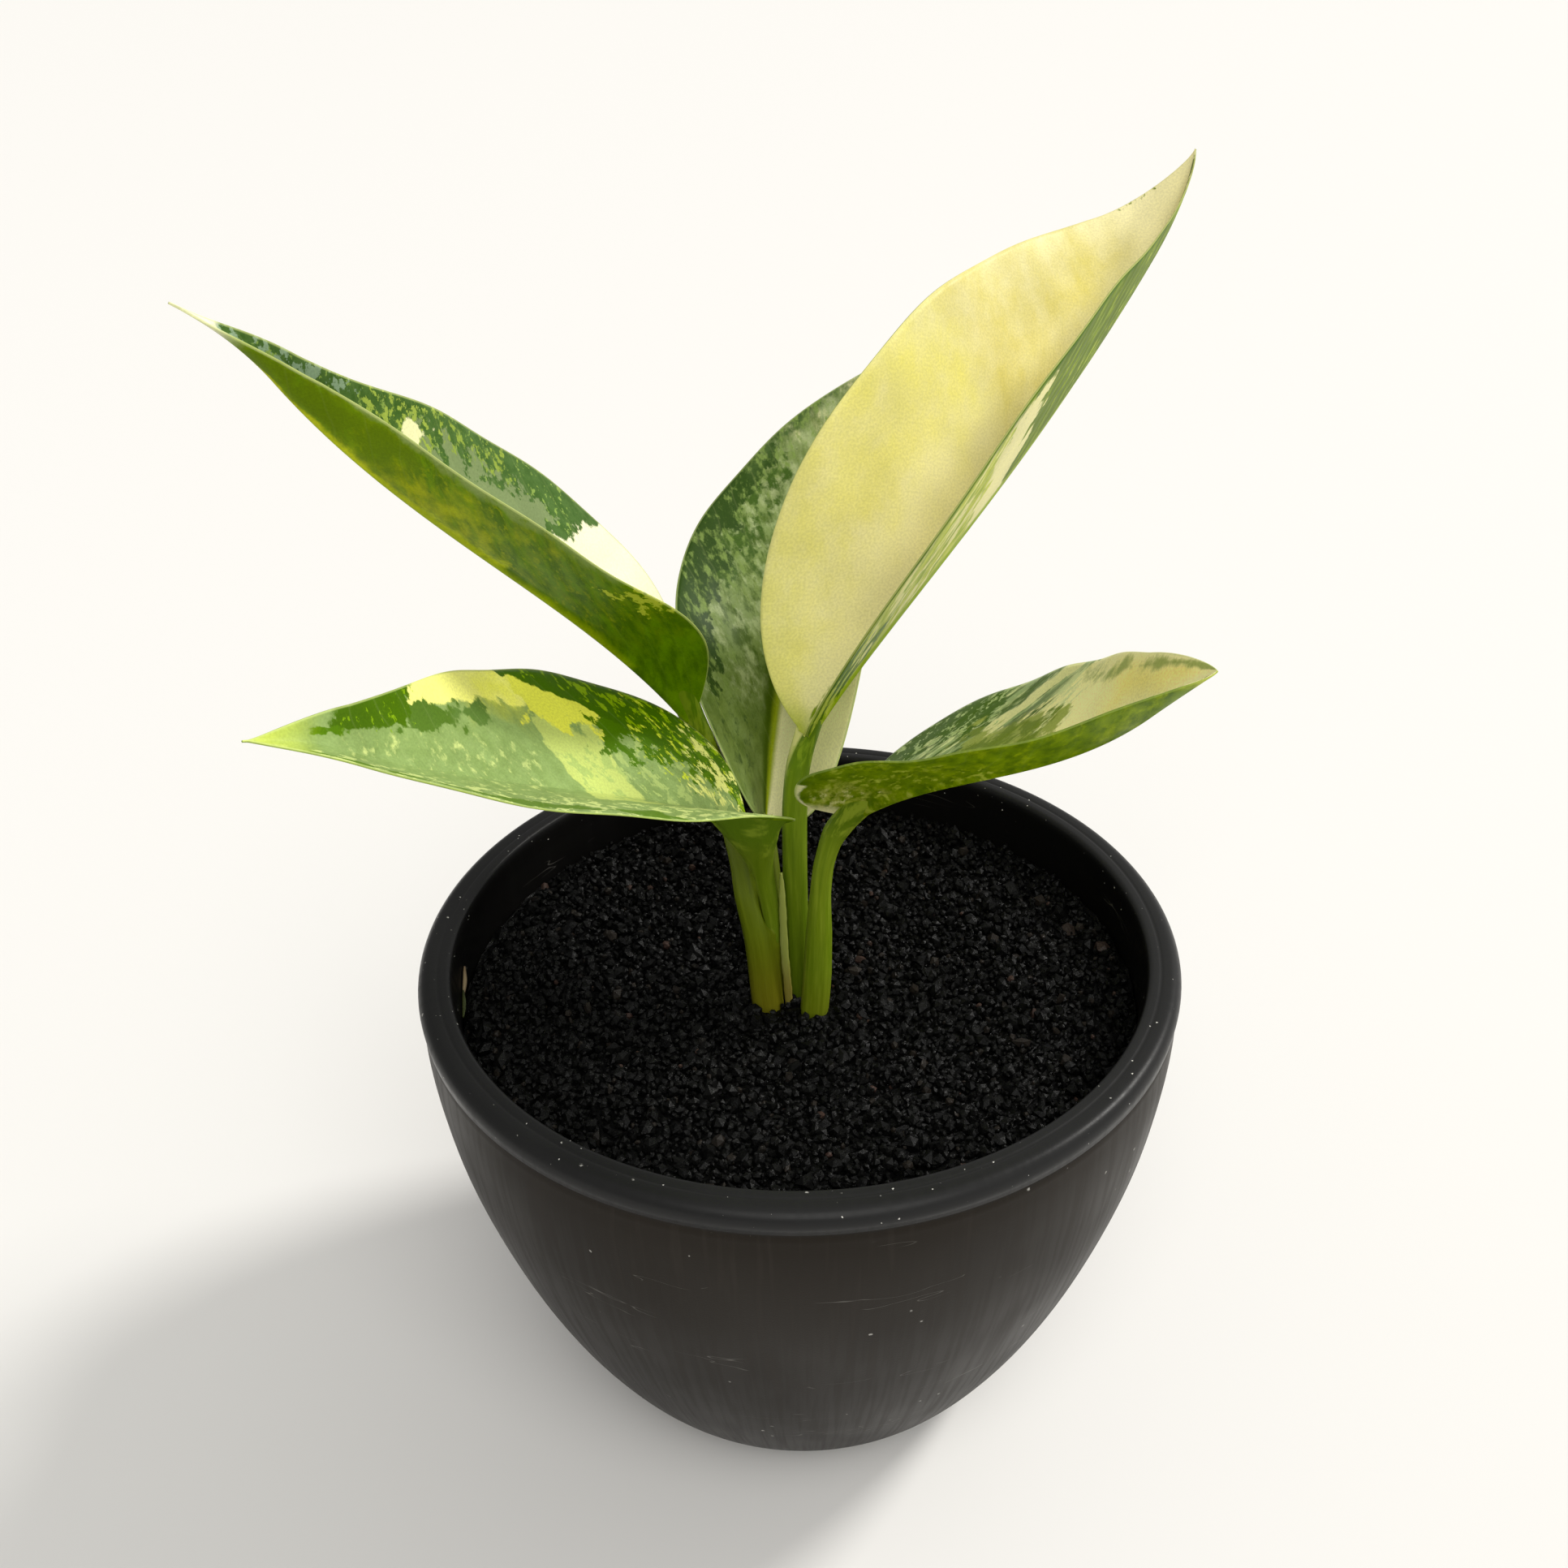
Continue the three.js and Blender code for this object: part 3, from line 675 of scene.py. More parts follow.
# %% [markdown]
# ## The colours of the leaves
#
# No two leaves of this plant are alike, so each has its own stack of tissue layers. A layer has a
# colour and says where it lies: first from the base at 0 to the tip at 1, then from the right edge at
# -1 to the left edge at 1. Cover says how much of that place it fills, Size how wide its flecks are in
# millimetres, and Stretch how much longer than wide they are. Ragged frays its outline, Soft blurs it
# and Lean slants it with the side veins. The under side is duller and a little yellower than the face.

# %% Layers and edges
ALL = (-1, 2)
LOOKS = {}


def layer(colour, length=ALL, side=(-2, 2), **grain):
    return colour, dict(From=length[0], To=length[1], Low=side[0], High=side[1], **grain)


print("layers ready")

# %% [markdown]
# The upper left leaf is folded like a keel. Its face is dark and flecked, with one cream sector
# at the base, and its under side shows an olive half with yellow streaks, a painted sheen along its
# free margin and painted light shining through along its keel.

# %% Upper left leaf
face = "#42602A", [
    layer("#4F6C36", Cover=0.5, Size=1.4, Soft=0.25),
    layer("#88A054", (0.3, 0.9), Cover=0.24, Size=0.8),
    layer("#7C8C60", (0.34, 0.62), (-0.69, 0.69), Ragged=0.06, Size=1.3),
    layer("#8FA24A", (0.45, 0.6), (-0.97, -0.74), Cover=0.42, Size=0.8),
    layer("#9DAF54", (0.6, 0.73), (-1.0, 2), Cover=0.42, Size=0.8),
    layer("#F0EEBC", (0.605, 0.65), (-0.76, -0.52), Ragged=0.03, Size=1.1),
    layer("#8CA284", (0.74, 1.2), Cover=0.4, Size=1.2),
    layer("#FBF6D2", (-1, 0.41), (-1.2, 0.0), Lean=-0.15, Ragged=0.03, Size=1.4),
    layer("#F6F2D2", (0.94, 2), Ragged=0.01),
]
under = "#5F8203", [
    layer("#6B8C07", Cover=0.5, Size=1.4, Stretch=2.0, Soft=0.3),
    layer("#6C800A", (0.18, 2), Cover=0.42, Size=1.2, Stretch=3, Soft=0.4),
    layer("#4C6A00", (0.05, 0.7), Cover=0.42, Size=1.2, Stretch=3, Soft=0.3),
    layer("#808F12", (0.24, 0.8), Cover=0.25, Size=0.6, Stretch=2.4, Soft=0.15),
    layer("#9CA41C", (0.5, 0.67), (0.1, 0.6), Ragged=0.08, Cover=0.6, Size=1.6, Stretch=2, Soft=0.4),
    layer("#B9BE50", (0.26, 0.33), (0.76, 2), Ragged=0.05, Cover=0.6, Size=1.2),
    # A grey-green band along the free margin is a painted sheen.
    layer("#84945A", (0.36, 0.9), (0.92, 2), Ragged=0.02, Cover=0.85, Stretch=2.4, Soft=0.2),
    layer("#5C7408", (0.66, 0.9), (0.22, 0.85), Ragged=0.06, Cover=0.9, Size=1.6, Soft=0.3),
    # The yellow band and line along the keel are painted light shining through the thin blade.
    layer("#B4BC38", (0.45, 2), (-0.1, 0.12), Ragged=0.03, Soft=0.15),
    layer("#9AAB1C", (0.15, 2), (-0.05, 0.05), Ragged=0.005, Soft=0.1),
    layer("#F6F2D2", (0.93, 2), Ragged=0.01, Soft=0.4),
]
LOOKS["leaf_upper_left"] = {"face": face, "under": under, "edge": ("#C3CC7E", 0.5)}
print(len(face[1]), "layers on the face and", len(under[1]), "below")

# %% [markdown]
# The lower left leaf is sage. A yellow and cream sector lies on its far half between two dark
# wedges, and cream streaks run out from its base.

# %% Lower left leaf
face = "#80965A", [
    layer("#91A76A", Cover=0.5, Size=2.0, Soft=0.4),
    layer("#A6B974", (0.05, 0.3), Cover=0.4, Size=1.4),
    layer("#BFCC7A", (0.25, 0.375), (-0.58, 0.3), Lean=0.1, Ragged=0.03),
    layer("#A9BC72", (0.25, 0.37), (-0.4, 0.2), Lean=0.1, Cover=0.4, Size=1.4),
    layer("#F6F494", (0.3, 0.725), (-1.2, -0.7), Ragged=0.03),
    layer("#E6E668", (0.27, 0.45), (-0.95, -0.56), Ragged=0.04, Size=1.6),
    layer("#EDEC6C", (0.34, 0.54), (-1.2, -0.7), Cover=0.6, Size=3, Soft=0.5),
    layer("#4C7208", (0.1, 0.29), (-0.82, -0.42), Ragged=0.07, Cover=0.85, Size=1.1),
    layer("#44680A", (-1.0, -0.27), (-1.2, -0.4), Lean=0.77, Ragged=0.04, Size=1.4),
    layer("#8CAA30", (-1.0, -0.31), (-2, -0.4), Lean=0.77, Cover=0.36, Size=0.8, Stretch=2.4),
    layer("#C9D552", (-1, 0.22), (-0.98, -0.3), Cover=0.28, Size=0.7, Stretch=3),
    layer("#E3E68E", (-1, 0.12), (-2, -0.15), Ragged=0.03, Cover=0.42, Size=0.9, Stretch=3),
    layer("#55790A", (-1, 0.13), (-2, -0.35), Ragged=0.03, Cover=0.34, Size=0.8, Stretch=2.4),
    layer("#5E7A3C", (0.53, 0.63), (-0.69, -0.55), Ragged=0.03, Size=1.4),
    layer("#55722E", (0.61, 0.735), (-0.76, -0.46), Ragged=0.035, Cover=0.95, Size=1.4),
    layer("#46680A", (0.72, 0.865), (-1.2, -0.5), Ragged=0.03, Size=1.6),
    layer("#7FA030", (0.72, 0.9), (-0.95, -0.4), Cover=0.2, Size=0.8),
    layer("#52780F", (0.84, 0.9), (-0.58, -0.34), Ragged=0.03, Size=1.4),
    layer("#C6D38A", (0.45, 0.85), (-0.35, 0.4), Cover=0.22, Size=1.0, Soft=0.2),
    layer("#C9D68E", (0.1, 2), (0.45, 2), Cover=0.42, Size=1.4),
    layer("#5E7D30", (0.4, 0.92), (0.78, 0.93), Ragged=0.03, Cover=0.8),
    layer("#BFCE66", (0.92, 2), Ragged=0.02, Soft=0.5),
]
under = "#66860A", [
    layer("#91A828", Cover=0.34, Size=1.2, Stretch=3, Soft=0.3),
    layer("#4F700A", Cover=0.42, Size=1.6, Stretch=3, Soft=0.3),
    layer("#DDE34E", (-1, 0.09), (0.4, 0.8), Ragged=0.02, Cover=0.7, Size=1),
]
LOOKS["leaf_lower_left"] = {"face": face, "under": under, "edge": ("#C3D27E", 0.5)}
print(len(face[1]), "layers on the face and", len(under[1]), "below")

# %% [markdown]
# The back leaf has one cream half, while the other is mottled with a dark margin.

# %% Back leaf
face = "#6E8040", [
    layer("#7F905C", (0.22, 2), Cover=0.6, Size=2.2, Stretch=2, Soft=0.4),
    layer("#7E9058", (-1, 0.3), Cover=0.5, Size=2.6, Soft=0.6),
    layer("#566A30", (-1, 0.3), Cover=0.36, Size=2.2, Soft=0.4),
    layer("#9EAA7C", (0.2, 2), Cover=0.36, Size=1.2, Stretch=2, Soft=0.25),
    layer("#4B5F28", (0.25, 2), Cover=0.36, Size=1.4, Stretch=2, Soft=0.2),
    layer("#9BA578", (0.58, 2), Cover=0.6, Size=3, Stretch=2.5, Soft=0.3),
    layer("#DAD6A4", (0.7, 2), Cover=0.3, Size=2, Stretch=3, Soft=0.2),
    layer("#62733C", (0.6, 2), Cover=0.38, Size=2.2, Stretch=2.5, Soft=0.3),
    layer("#3E5620", (0.4, 0.66), (0.5, 2), Ragged=0.06, Cover=0.6, Size=1.5, Soft=0.15),
    layer("#2F4518", (0.2, 0.68), (0.7, 2), Ragged=0.05, Cover=1.0, Size=1.4),
    layer("#43582C", (0.64, 0.86), (0.8, 2), Ragged=0.04, Cover=0.7, Size=1.4, Soft=0.3),
    layer("#41562A", (-1, 0.2), (0.35, 2), Cover=0.22, Size=1.2, Soft=0.2),
    layer("#74884A", (0.2, 0.84), (0.5, 2), Cover=0.3, Size=0.9, Stretch=2, Soft=0.2),
    layer("#43580F", (-1, 0.28), (0.02, 0.15), Soft=0.15, Ragged=0.01),
    layer("#FBF5C2", ALL, (-1.2, -0.005), Ragged=0.002),
    layer("#97A32C", (-1, 0.24), (-0.04, 0.035), Soft=0.1, Ragged=0.003),
]
under = "#B5B668", [
    layer("#788C38", ALL, (0.0, 2), Cover=0.6, Size=1.6, Stretch=3.5, Soft=0.2),
    layer("#5D7228", ALL, (0.1, 2), Cover=0.3, Size=1.2, Stretch=3, Soft=0.2),
]
LOOKS["leaf_back"] = {"face": face, "under": under, "edge": ("#B5C77E", 0.55)}
print(len(face[1]), "layers on the face and", len(under[1]), "below")

# %% [markdown]
# The upper right leaf has hardly any green on its face, so it is butter yellow. The half that is
# folded up shows its streaky under side.

# %% Upper right leaf
face = "#E4DEA9", [
    layer("#E5DE84", (-1, 0.85), (0.4, 2), Ragged=0.06, Size=4, Soft=0.7),
    layer("#E3DB78", (0.05, 0.62), (0.55, 1.1), Ragged=0.07, Size=4, Lean=0.1, Soft=0.4),
    layer("#D0C46C", (0.5, 0.86), (0.2, 2), Ragged=0.04, Size=5, Soft=0.5),
    layer("#E6DFB0", Cover=0.42, Size=5, Soft=0.9),
    layer("#DFD88A", (-1, 0.4), (0.4, 2), Cover=0.36, Size=3, Soft=0.5),
    layer("#F1E9B6", (0.84, 2), Ragged=0.05, Size=5, Soft=0.5),
    layer("#A3AC48", (-1, 0.015), Ragged=0.01, Soft=0.3),
    layer("#788C2C", (0.02, 0.07), (0.04, 0.1), Ragged=0.02),
    layer("#6F8030", (0.89, 0.93), (0.93, 2), Ragged=0.02, Cover=0.34, Size=0.7),
    layer("#4F6A1C", (0.3, 2), (-1.2, -0.4), Cover=0.4, Size=1.8),
]
under = "#C9D060", [
    layer("#9DB03C", Cover=0.45, Size=1.2, Stretch=3.5, Soft=0.1),
    layer("#EAE6A6", (0.1, 0.44), (-0.95, -0.2), Cover=0.45, Size=1.6, Stretch=3),
    layer("#5A7A1C", (-1, 0.14), (-1.2, -0.2), Cover=0.55, Size=1.2, Stretch=4),
    layer("#647C04", (0.4, 0.92), Ragged=0.07, Cover=0.85, Size=1.6, Stretch=3),
    layer("#8FA42C", (0.36, 2), Cover=0.36, Size=1.2, Stretch=4, Soft=0.15),
    layer("#F2ECB0", (0.31, 0.4), (-0.95, -0.1), Lean=0.06, Ragged=0.04, Cover=0.95),
    layer("#9DB42C", (-1, 0.6), (-0.12, 0.12), Soft=0.1, Ragged=0.005),
    layer("#4A6A12", (0.05, 2), (-1.2, -0.95), Ragged=0.005, Soft=0.1),
]
LOOKS["leaf_upper_right"] = {"face": face, "under": under, "edge": ("#E3DE92", 0.4)}
print(len(face[1]), "layers on the face and", len(under[1]), "below")

# %% [markdown]
# The right leaf is cream at its tip, and its green lies in streaks that lean with the side veins.

# %% Right leaf
face = "#FFF8BC", [
    layer("#FFF09C", (0.72, 0.97), (0.38, 0.8), Ragged=0.05, Size=3, Soft=0.6),
    layer("#9DB07C", (-0.5, 0.2), Lean=0.42, Ragged=0.05, Size=1.2, Stretch=3),
    layer("#556E30", (-1, 0.52), Cover=0.46, Size=1.3, Stretch=5, Soft=0.1),
    layer("#DCE2AC", (0.05, 0.6), Cover=0.36, Size=1.0, Stretch=5, Soft=0.15),
    layer("#EAE7AE", (0.12, 0.18), (0.4, 2), Lean=0.4, Ragged=0.03, Size=1.2, Stretch=3),
    layer("#66794C", (0.19, 0.22), (0.4, 2), Lean=0.4, Ragged=0.02, Cover=0.6, Stretch=4, Soft=0.2),
    layer("#4A681A", (-1, 0.33), (0.6, 2), Ragged=0.05, Cover=0.8, Size=1.0, Stretch=2),
    layer("#B5C68C", (-1, 0.36), (0.5, 2), Cover=0.34, Size=0.8),
    layer("#A4AE5E", (0.28, 0.58), (-0.1, 0.5), Ragged=0.08, Cover=0.8, Size=1.6, Stretch=2.5, Soft=0.12),
    layer("#788A38", (0.28, 0.52), (-0.1, 0.42), Ragged=0.08, Cover=0.62, Size=1.6, Stretch=2.5, Soft=0.1),
    layer("#A9B26A", (0.6, 2), (0.72, 0.88), Ragged=0.05, Stretch=2, Cover=0.9, Soft=0.2),
    layer("#8C9C5C", ALL, (-1.2, -0.1), Cover=0.5, Size=1.2, Stretch=2),
]
under = "#607A0A", [
    layer("#6E8612", Cover=0.5, Size=1.8, Stretch=2.4, Soft=0.4),
    layer("#4C6608", Cover=0.42, Size=1.5, Stretch=2.4, Soft=0.3),
    layer("#A3B04C", (-1, 0.5), Cover=0.26, Size=1.0, Stretch=2.4, Soft=0.2),
    layer("#889A30", (0.3, 2), Cover=0.25, Size=1.2, Stretch=3, Soft=0.3),
    layer("#A9AE54", (-1, 0.2), (-0.8, -0.1), Cover=0.36, Size=1.0, Stretch=3, Soft=0.35),
    layer("#DEDC98", (-1, 0.16), (-0.7, -0.3), Cover=0.25, Size=0.8, Stretch=3, Soft=0.2),
    layer("#B8C05A", (0.97, 2), Ragged=0.02, Soft=0.2),
    layer("#F0EBC0", (-1, 0.13), (-1.2, -0.93), Ragged=0.01, Size=1.2),
    layer("#E6E2AC", (-1, 0.04), (-1.2, -0.15), Ragged=0.012, Size=1.0, Soft=0.2),
]
LOOKS["leaf_right"] = {"face": face, "under": under, "edge": ("#A9B86A", 0.35)}
print(len(face[1]), "layers on the face and", len(under[1]), "below")

# %% Leaf material
VEIN_SPACING = 5.5
VEIN_WIDTH = 0.3


def leaf_material(name, base, layers, edge, under):
    material, tree, shader = new_material(name)
    blade = surface_map(tree, "blade")
    veins = surface_map(tree, "veins")
    swell = 0.5 if under else 0.6
    lines = use_group(tree, vein_lines, Veins=veins, Spacing=VEIN_SPACING, Width=VEIN_WIDTH, Swell=swell)
    colour = base
    for k, (layer_colour, values) in enumerate(layers):
        mask = tissue(tree, blade, veins, Seed=10.0 * k, **values)
        colour = blend_colours(tree, mask, colour, layer_colour)
    shade = smooth(tree, noise(tree, veins, 0.06, 2.0), 0.3, 0.7, 0.93, 1.07)
    grain = smooth(tree, noise(tree, veins, 2.2, 3.0), 0.3, 0.7, 0.92, 1.08)
    value = times(tree, shade, grain)
    colour = add_node(tree, "HueSaturation", Color=colour, Saturation=1.08, Value=value).outputs[0]
    colour = tint(tree, colour, "#C8D08A", lines["Line"], 0.02 if under else 0.05)
    rim_colour, rim_share = edge
    rim = smooth(tree, parts_of(tree, surface_map(tree, "rim"))[0], 0.45, 0.15, 0.0, rim_share)
    colour = blend_colours(tree, rim, colour, rim_colour)
    roughness = smooth(tree, lines["Height"], 0.1, 0.7, 0.5, 0.4)
    coat_surface(tree, shader, colour, roughness, lines["Height"], 0.3, 0.3)
    shader["Specular IOR Level"].default_value = 0.04 if under else 0.12
    return material


print("leaf material ready to be made")

# %% Stalk material


def stalk_material(name, base, stripe, dark, foot, foot_share=0.5, tops=None):
    material, tree, shader = new_material(name)
    maps = surface_map(tree, "blade"), surface_map(tree, "veins")
    length, beside, _ = parts_of(tree, maps[0])
    deep = tissue(tree, *maps, Cover=0.5, Size=1.3, Stretch=12, Soft=0.8, Seed=8)
    pale = tissue(tree, *maps, Cover=0.4, Size=0.8, Stretch=16, Soft=0.5, Seed=3)
    fine = tissue(tree, *maps, Cover=0.4, Size=0.25, Stretch=30, Soft=0.4, Seed=5)
    colour = tint(tree, base, dark, deep, 0.7)
    colour = tint(tree, colour, stripe, pale, 0.4)
    colour = tint(tree, colour, stripe, fine, 0.15)
    colour = blend_colours(tree, smooth(tree, length, 0.45, 0.16, 0.0, foot_share), colour, foot)
    if tops:
        top = blend_colours(tree, smooth(tree, beside, -0.2, 0.3), *tops)
        ragged = plus(tree, length, times(tree, pale, 0.03))
        colour = blend_colours(tree, smooth(tree, ragged, 0.86, 0.99), colour, top)
        flecks = tissue(tree, *maps, From=0.9, Cover=0.42, Size=0.9, Stretch=2, Soft=0.15, Seed=6)
        colour = tint(tree, colour, stripe, flecks, 0.5)
    coat_surface(tree, shader, colour, smooth(tree, fine, 0.0, 1.0, 0.36, 0.46), fine, 0.2, 0.2)
    shader["Specular IOR Level"].default_value = 0.18
    return material


print("stalk material ready to be made")

# %% [markdown]
# ## Leaves
#
# Blade and stalk grew as one, so they become one object with three materials: face, under side and
# stalk. The stalk's colours are its ground, a pale stripe, a dark stripe, its foot and how strong that
# is, and the funnel's right and left half.

# %% Make the leaves
STALK_COLOURS = {
    "leaf_upper_left": ("#66760A", "#8E9E22", "#4A5C06", "#766616", 0.6, ("#567404", "#567404")),
    "leaf_lower_left": ("#6C850D", "#A0B435", "#4C6809", "#6B700F", 0.5, ("#5C7A12", "#5C7A12")),
    # The back leaf's stalk stands behind the others, and its darker colours are partly painted shade.
    "leaf_back": ("#5C6A12", "#7F8C30", "#42500C", "#4B4A10", 0.5, ("#5C6A1C", "#4F5E14")),
    "leaf_upper_right": ("#667F0B", "#9CB02F", "#48650A", "#53660C", 0.5, ("#5F7B14", "#DAD58F")),
    "leaf_right": ("#6E850C", "#A6B637", "#4F6B0A", "#74760F", 0.5, ("#58720C", "#58720C")),
}
for name, leaf in LEAVES.items():
    points, faces, blade_maps, slots = make_blade(leaf)
    surface, place, around = make_stalk(leaf, FUNNELS[name])
    if name == "leaf_upper_left":
        surface = keep_clear(surface, LEAVES["leaf_lower_left"])
    stalk_faces = grid_faces(*surface.shape[:2], len(points), True)
    points = np.vstack([points, surface.reshape(-1, 3)])
    faces = np.vstack([faces, stalk_faces])
    slots = np.append(slots, np.full(len(stalk_faces), 2))
    stalk_maps = {"blade": place, "veins": around, "rim": around}
    maps = {label: np.vstack([blade_maps[label], one.reshape(-1, 2)]) for label, one in stalk_maps.items()}
    piece = mesh_object(name + "_grown", points, faces, maps, slots)
    look = LOOKS[name]
    piece.data.materials.append(leaf_material(name + "_face", *look["face"], look["edge"], False))
    piece.data.materials.append(leaf_material(name + "_under", *look["under"], look["edge"], True))
    piece.data.materials.append(stalk_material(name + "_stalk", *STALK_COLOURS[name]))
    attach(piece, "root")
    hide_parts(name)
    print(name, len(piece.data.polygons), "faces")

# %% [markdown]
# ## The pot
#
# The pot is one moulding, so it is one turned profile: a rounded lip that stands a little proud of
# the body, with a shallow groove on its inner side, and a body that curves in to a small foot. The
# plastic is charcoal black. Its body is painted warm brown, darker towards the foot, as a painted
# reflection of a wooden table, and its inner wall is painted darker as shade. It shows a soft sheen,
# faint upright streaks from the mould that are painted lighter in part as a highlight, some dust on
# the lip and fine scratches.

# %% Pot profile
POT_SIDES = 220
BOWL_SIDE = ((40, 0), (44.5, 1.5), (52.7, 11.5), (60.4, 25.3), (67.3, 41.4), (73.3, 59.8), (77.8, 78.2),
             (80.0, 94), (80.6, 103), (80.5, 108.6))
RIM_RADIUS = 81
POT_HEIGHT = 115
INNER_RADIUS = 73.2
WALL_THICKNESS = 3.2


def arc_points(radius, height, rounding, start, end, steps):
    angle = np.radians(np.linspace(start, end, steps))
    return np.stack([radius + rounding * np.cos(angle), height + rounding * np.sin(angle)], 1)


def pot_profile():
    side = np.array(BOWL_SIDE, float)
    flow = smooth_curve(np.column_stack([side[1:], 0 * side[1:, 0]]), 6)[:, :2]
    outside = np.vstack([[[0, 0.6], [38.2, 0.6], [38.8, 0.15], [39.3, 0.0], [42.5, 0.0]],
                         arc_points(42.9, 1.6, 1.6, -80, -25, 5), flow])
    step = np.array([[80.25, 109.4], [80.2, 109.9], [80.35, 110.2], [80.8, 110.35]])
    lip = arc_points(RIM_RADIUS - 2.6, POT_HEIGHT - 2.6, 2.6, -8, 90, 12)
    groove = np.array([[77.4, 115], [77.1, 114.95], [76.9, 114.88], [76.6, 114.86], [76.35, 114.97],
                       [76.1, 115]])
    inner_lip = arc_points(75.2, POT_HEIGHT - 1.2, 1.2, 90, 180, 6)
    inner = np.array([[INNER_RADIUS, height] for height in (110, 103, 94)])
    wall = [(min(INNER_RADIUS, r - WALL_THICKNESS), h) for r, h in BOWL_SIDE[6:1:-1]]
    return np.vstack([outside, step, lip, groove, inner_lip, inner, wall, [[43.5, 4], [20, 4], [0, 4]]])


def turned(profile, sides):
    angle = np.linspace(0, 2 * math.pi, sides + 1)
    radius, height = profile[:, :1], profile[:, 1:]
    points = pair(radius * np.cos(angle), radius * np.sin(angle), height)
    length = np.append(0, np.cumsum(np.linalg.norm(np.diff(profile, axis=0), axis=1)))
    return points, pair(angle / (2 * math.pi), length[:, None])


profile = pot_profile()
pot_points, pot_map = turned(profile, POT_SIDES)
print("pot profile has", len(profile), "points")

# %% [markdown]
# Dust and scratches are used on more than one piece, so they are groups. Specks are the cores of a
# few cells of a cell pattern. Scratches are thin bright lines where a stretched noise crosses its
# middle value.

# %% Dust and scratches
def make_speck_group():
    inputs = {"Place": None, "Scale": 500.0, "Size": 0.2, "Share": 0.1}
    tree, given, result = new_group("dust_specks", inputs, ["Mask"])
    dent = noise(tree, given["Place"], times(tree, given["Scale"], 3.0), 2.0)
    cells = add_node(tree, "TexVoronoi", Vector=given["Place"], Scale=given["Scale"], Randomness=1.0)
    pick = add_node(tree, "SeparateColor", Color=cells.outputs["Color"]).outputs
    chosen = calc(tree, "LESS_THAN", pick[0], given["Share"])
    size = times(tree, given["Size"], smooth(tree, pick[1], 0.3, 1.0, 0.35, 1.6))
    size = times(tree, size, smooth(tree, dent, 0.35, 0.65, 0.5, 1.4))
    core = smooth(tree, cells.outputs["Distance"], size, times(tree, size, 0.5))
    tree.links.new(times(tree, core, chosen), result["Mask"])
    return tree


def make_scratch_group():
    inputs = {"Place": None, "Width": 0.004, "Share": 0.5}
    tree, given, result = new_group("fine_scratches", inputs, ["Mask"])
    lines = noise(tree, given["Place"], 1.0, 1.0)
    where = noise(tree, given["Place"], 0.35, 2.0)
    near = calc(tree, "ABSOLUTE", minus(tree, lines, 0.5))
    line = smooth(tree, near, 0.0, given["Width"], 1.0, 0.0)
    limit = minus(tree, 0.75, times(tree, given["Share"], 0.3))
    gate = smooth(tree, where, limit, plus(tree, limit, 0.03))
    tree.links.new(times(tree, line, gate), result["Mask"])
    return tree


dust_specks = make_speck_group()
fine_scratches = make_scratch_group()
print("dust and scratches ready")

# %% Pot material and piece
# Heights in metres where the lip and the painted reflection low on the body start, and distances past the
# lip's top along the profile in millimetres where the painted shade on the inner wall starts.
LIP_STARTS = (0.109, 0.1105)
LOW_BODY_PAINTED_REFLECTION = (0.1, 0.02)
INNER_WALL_PAINTED_SHADE_STARTS = (3.6, 6.5)


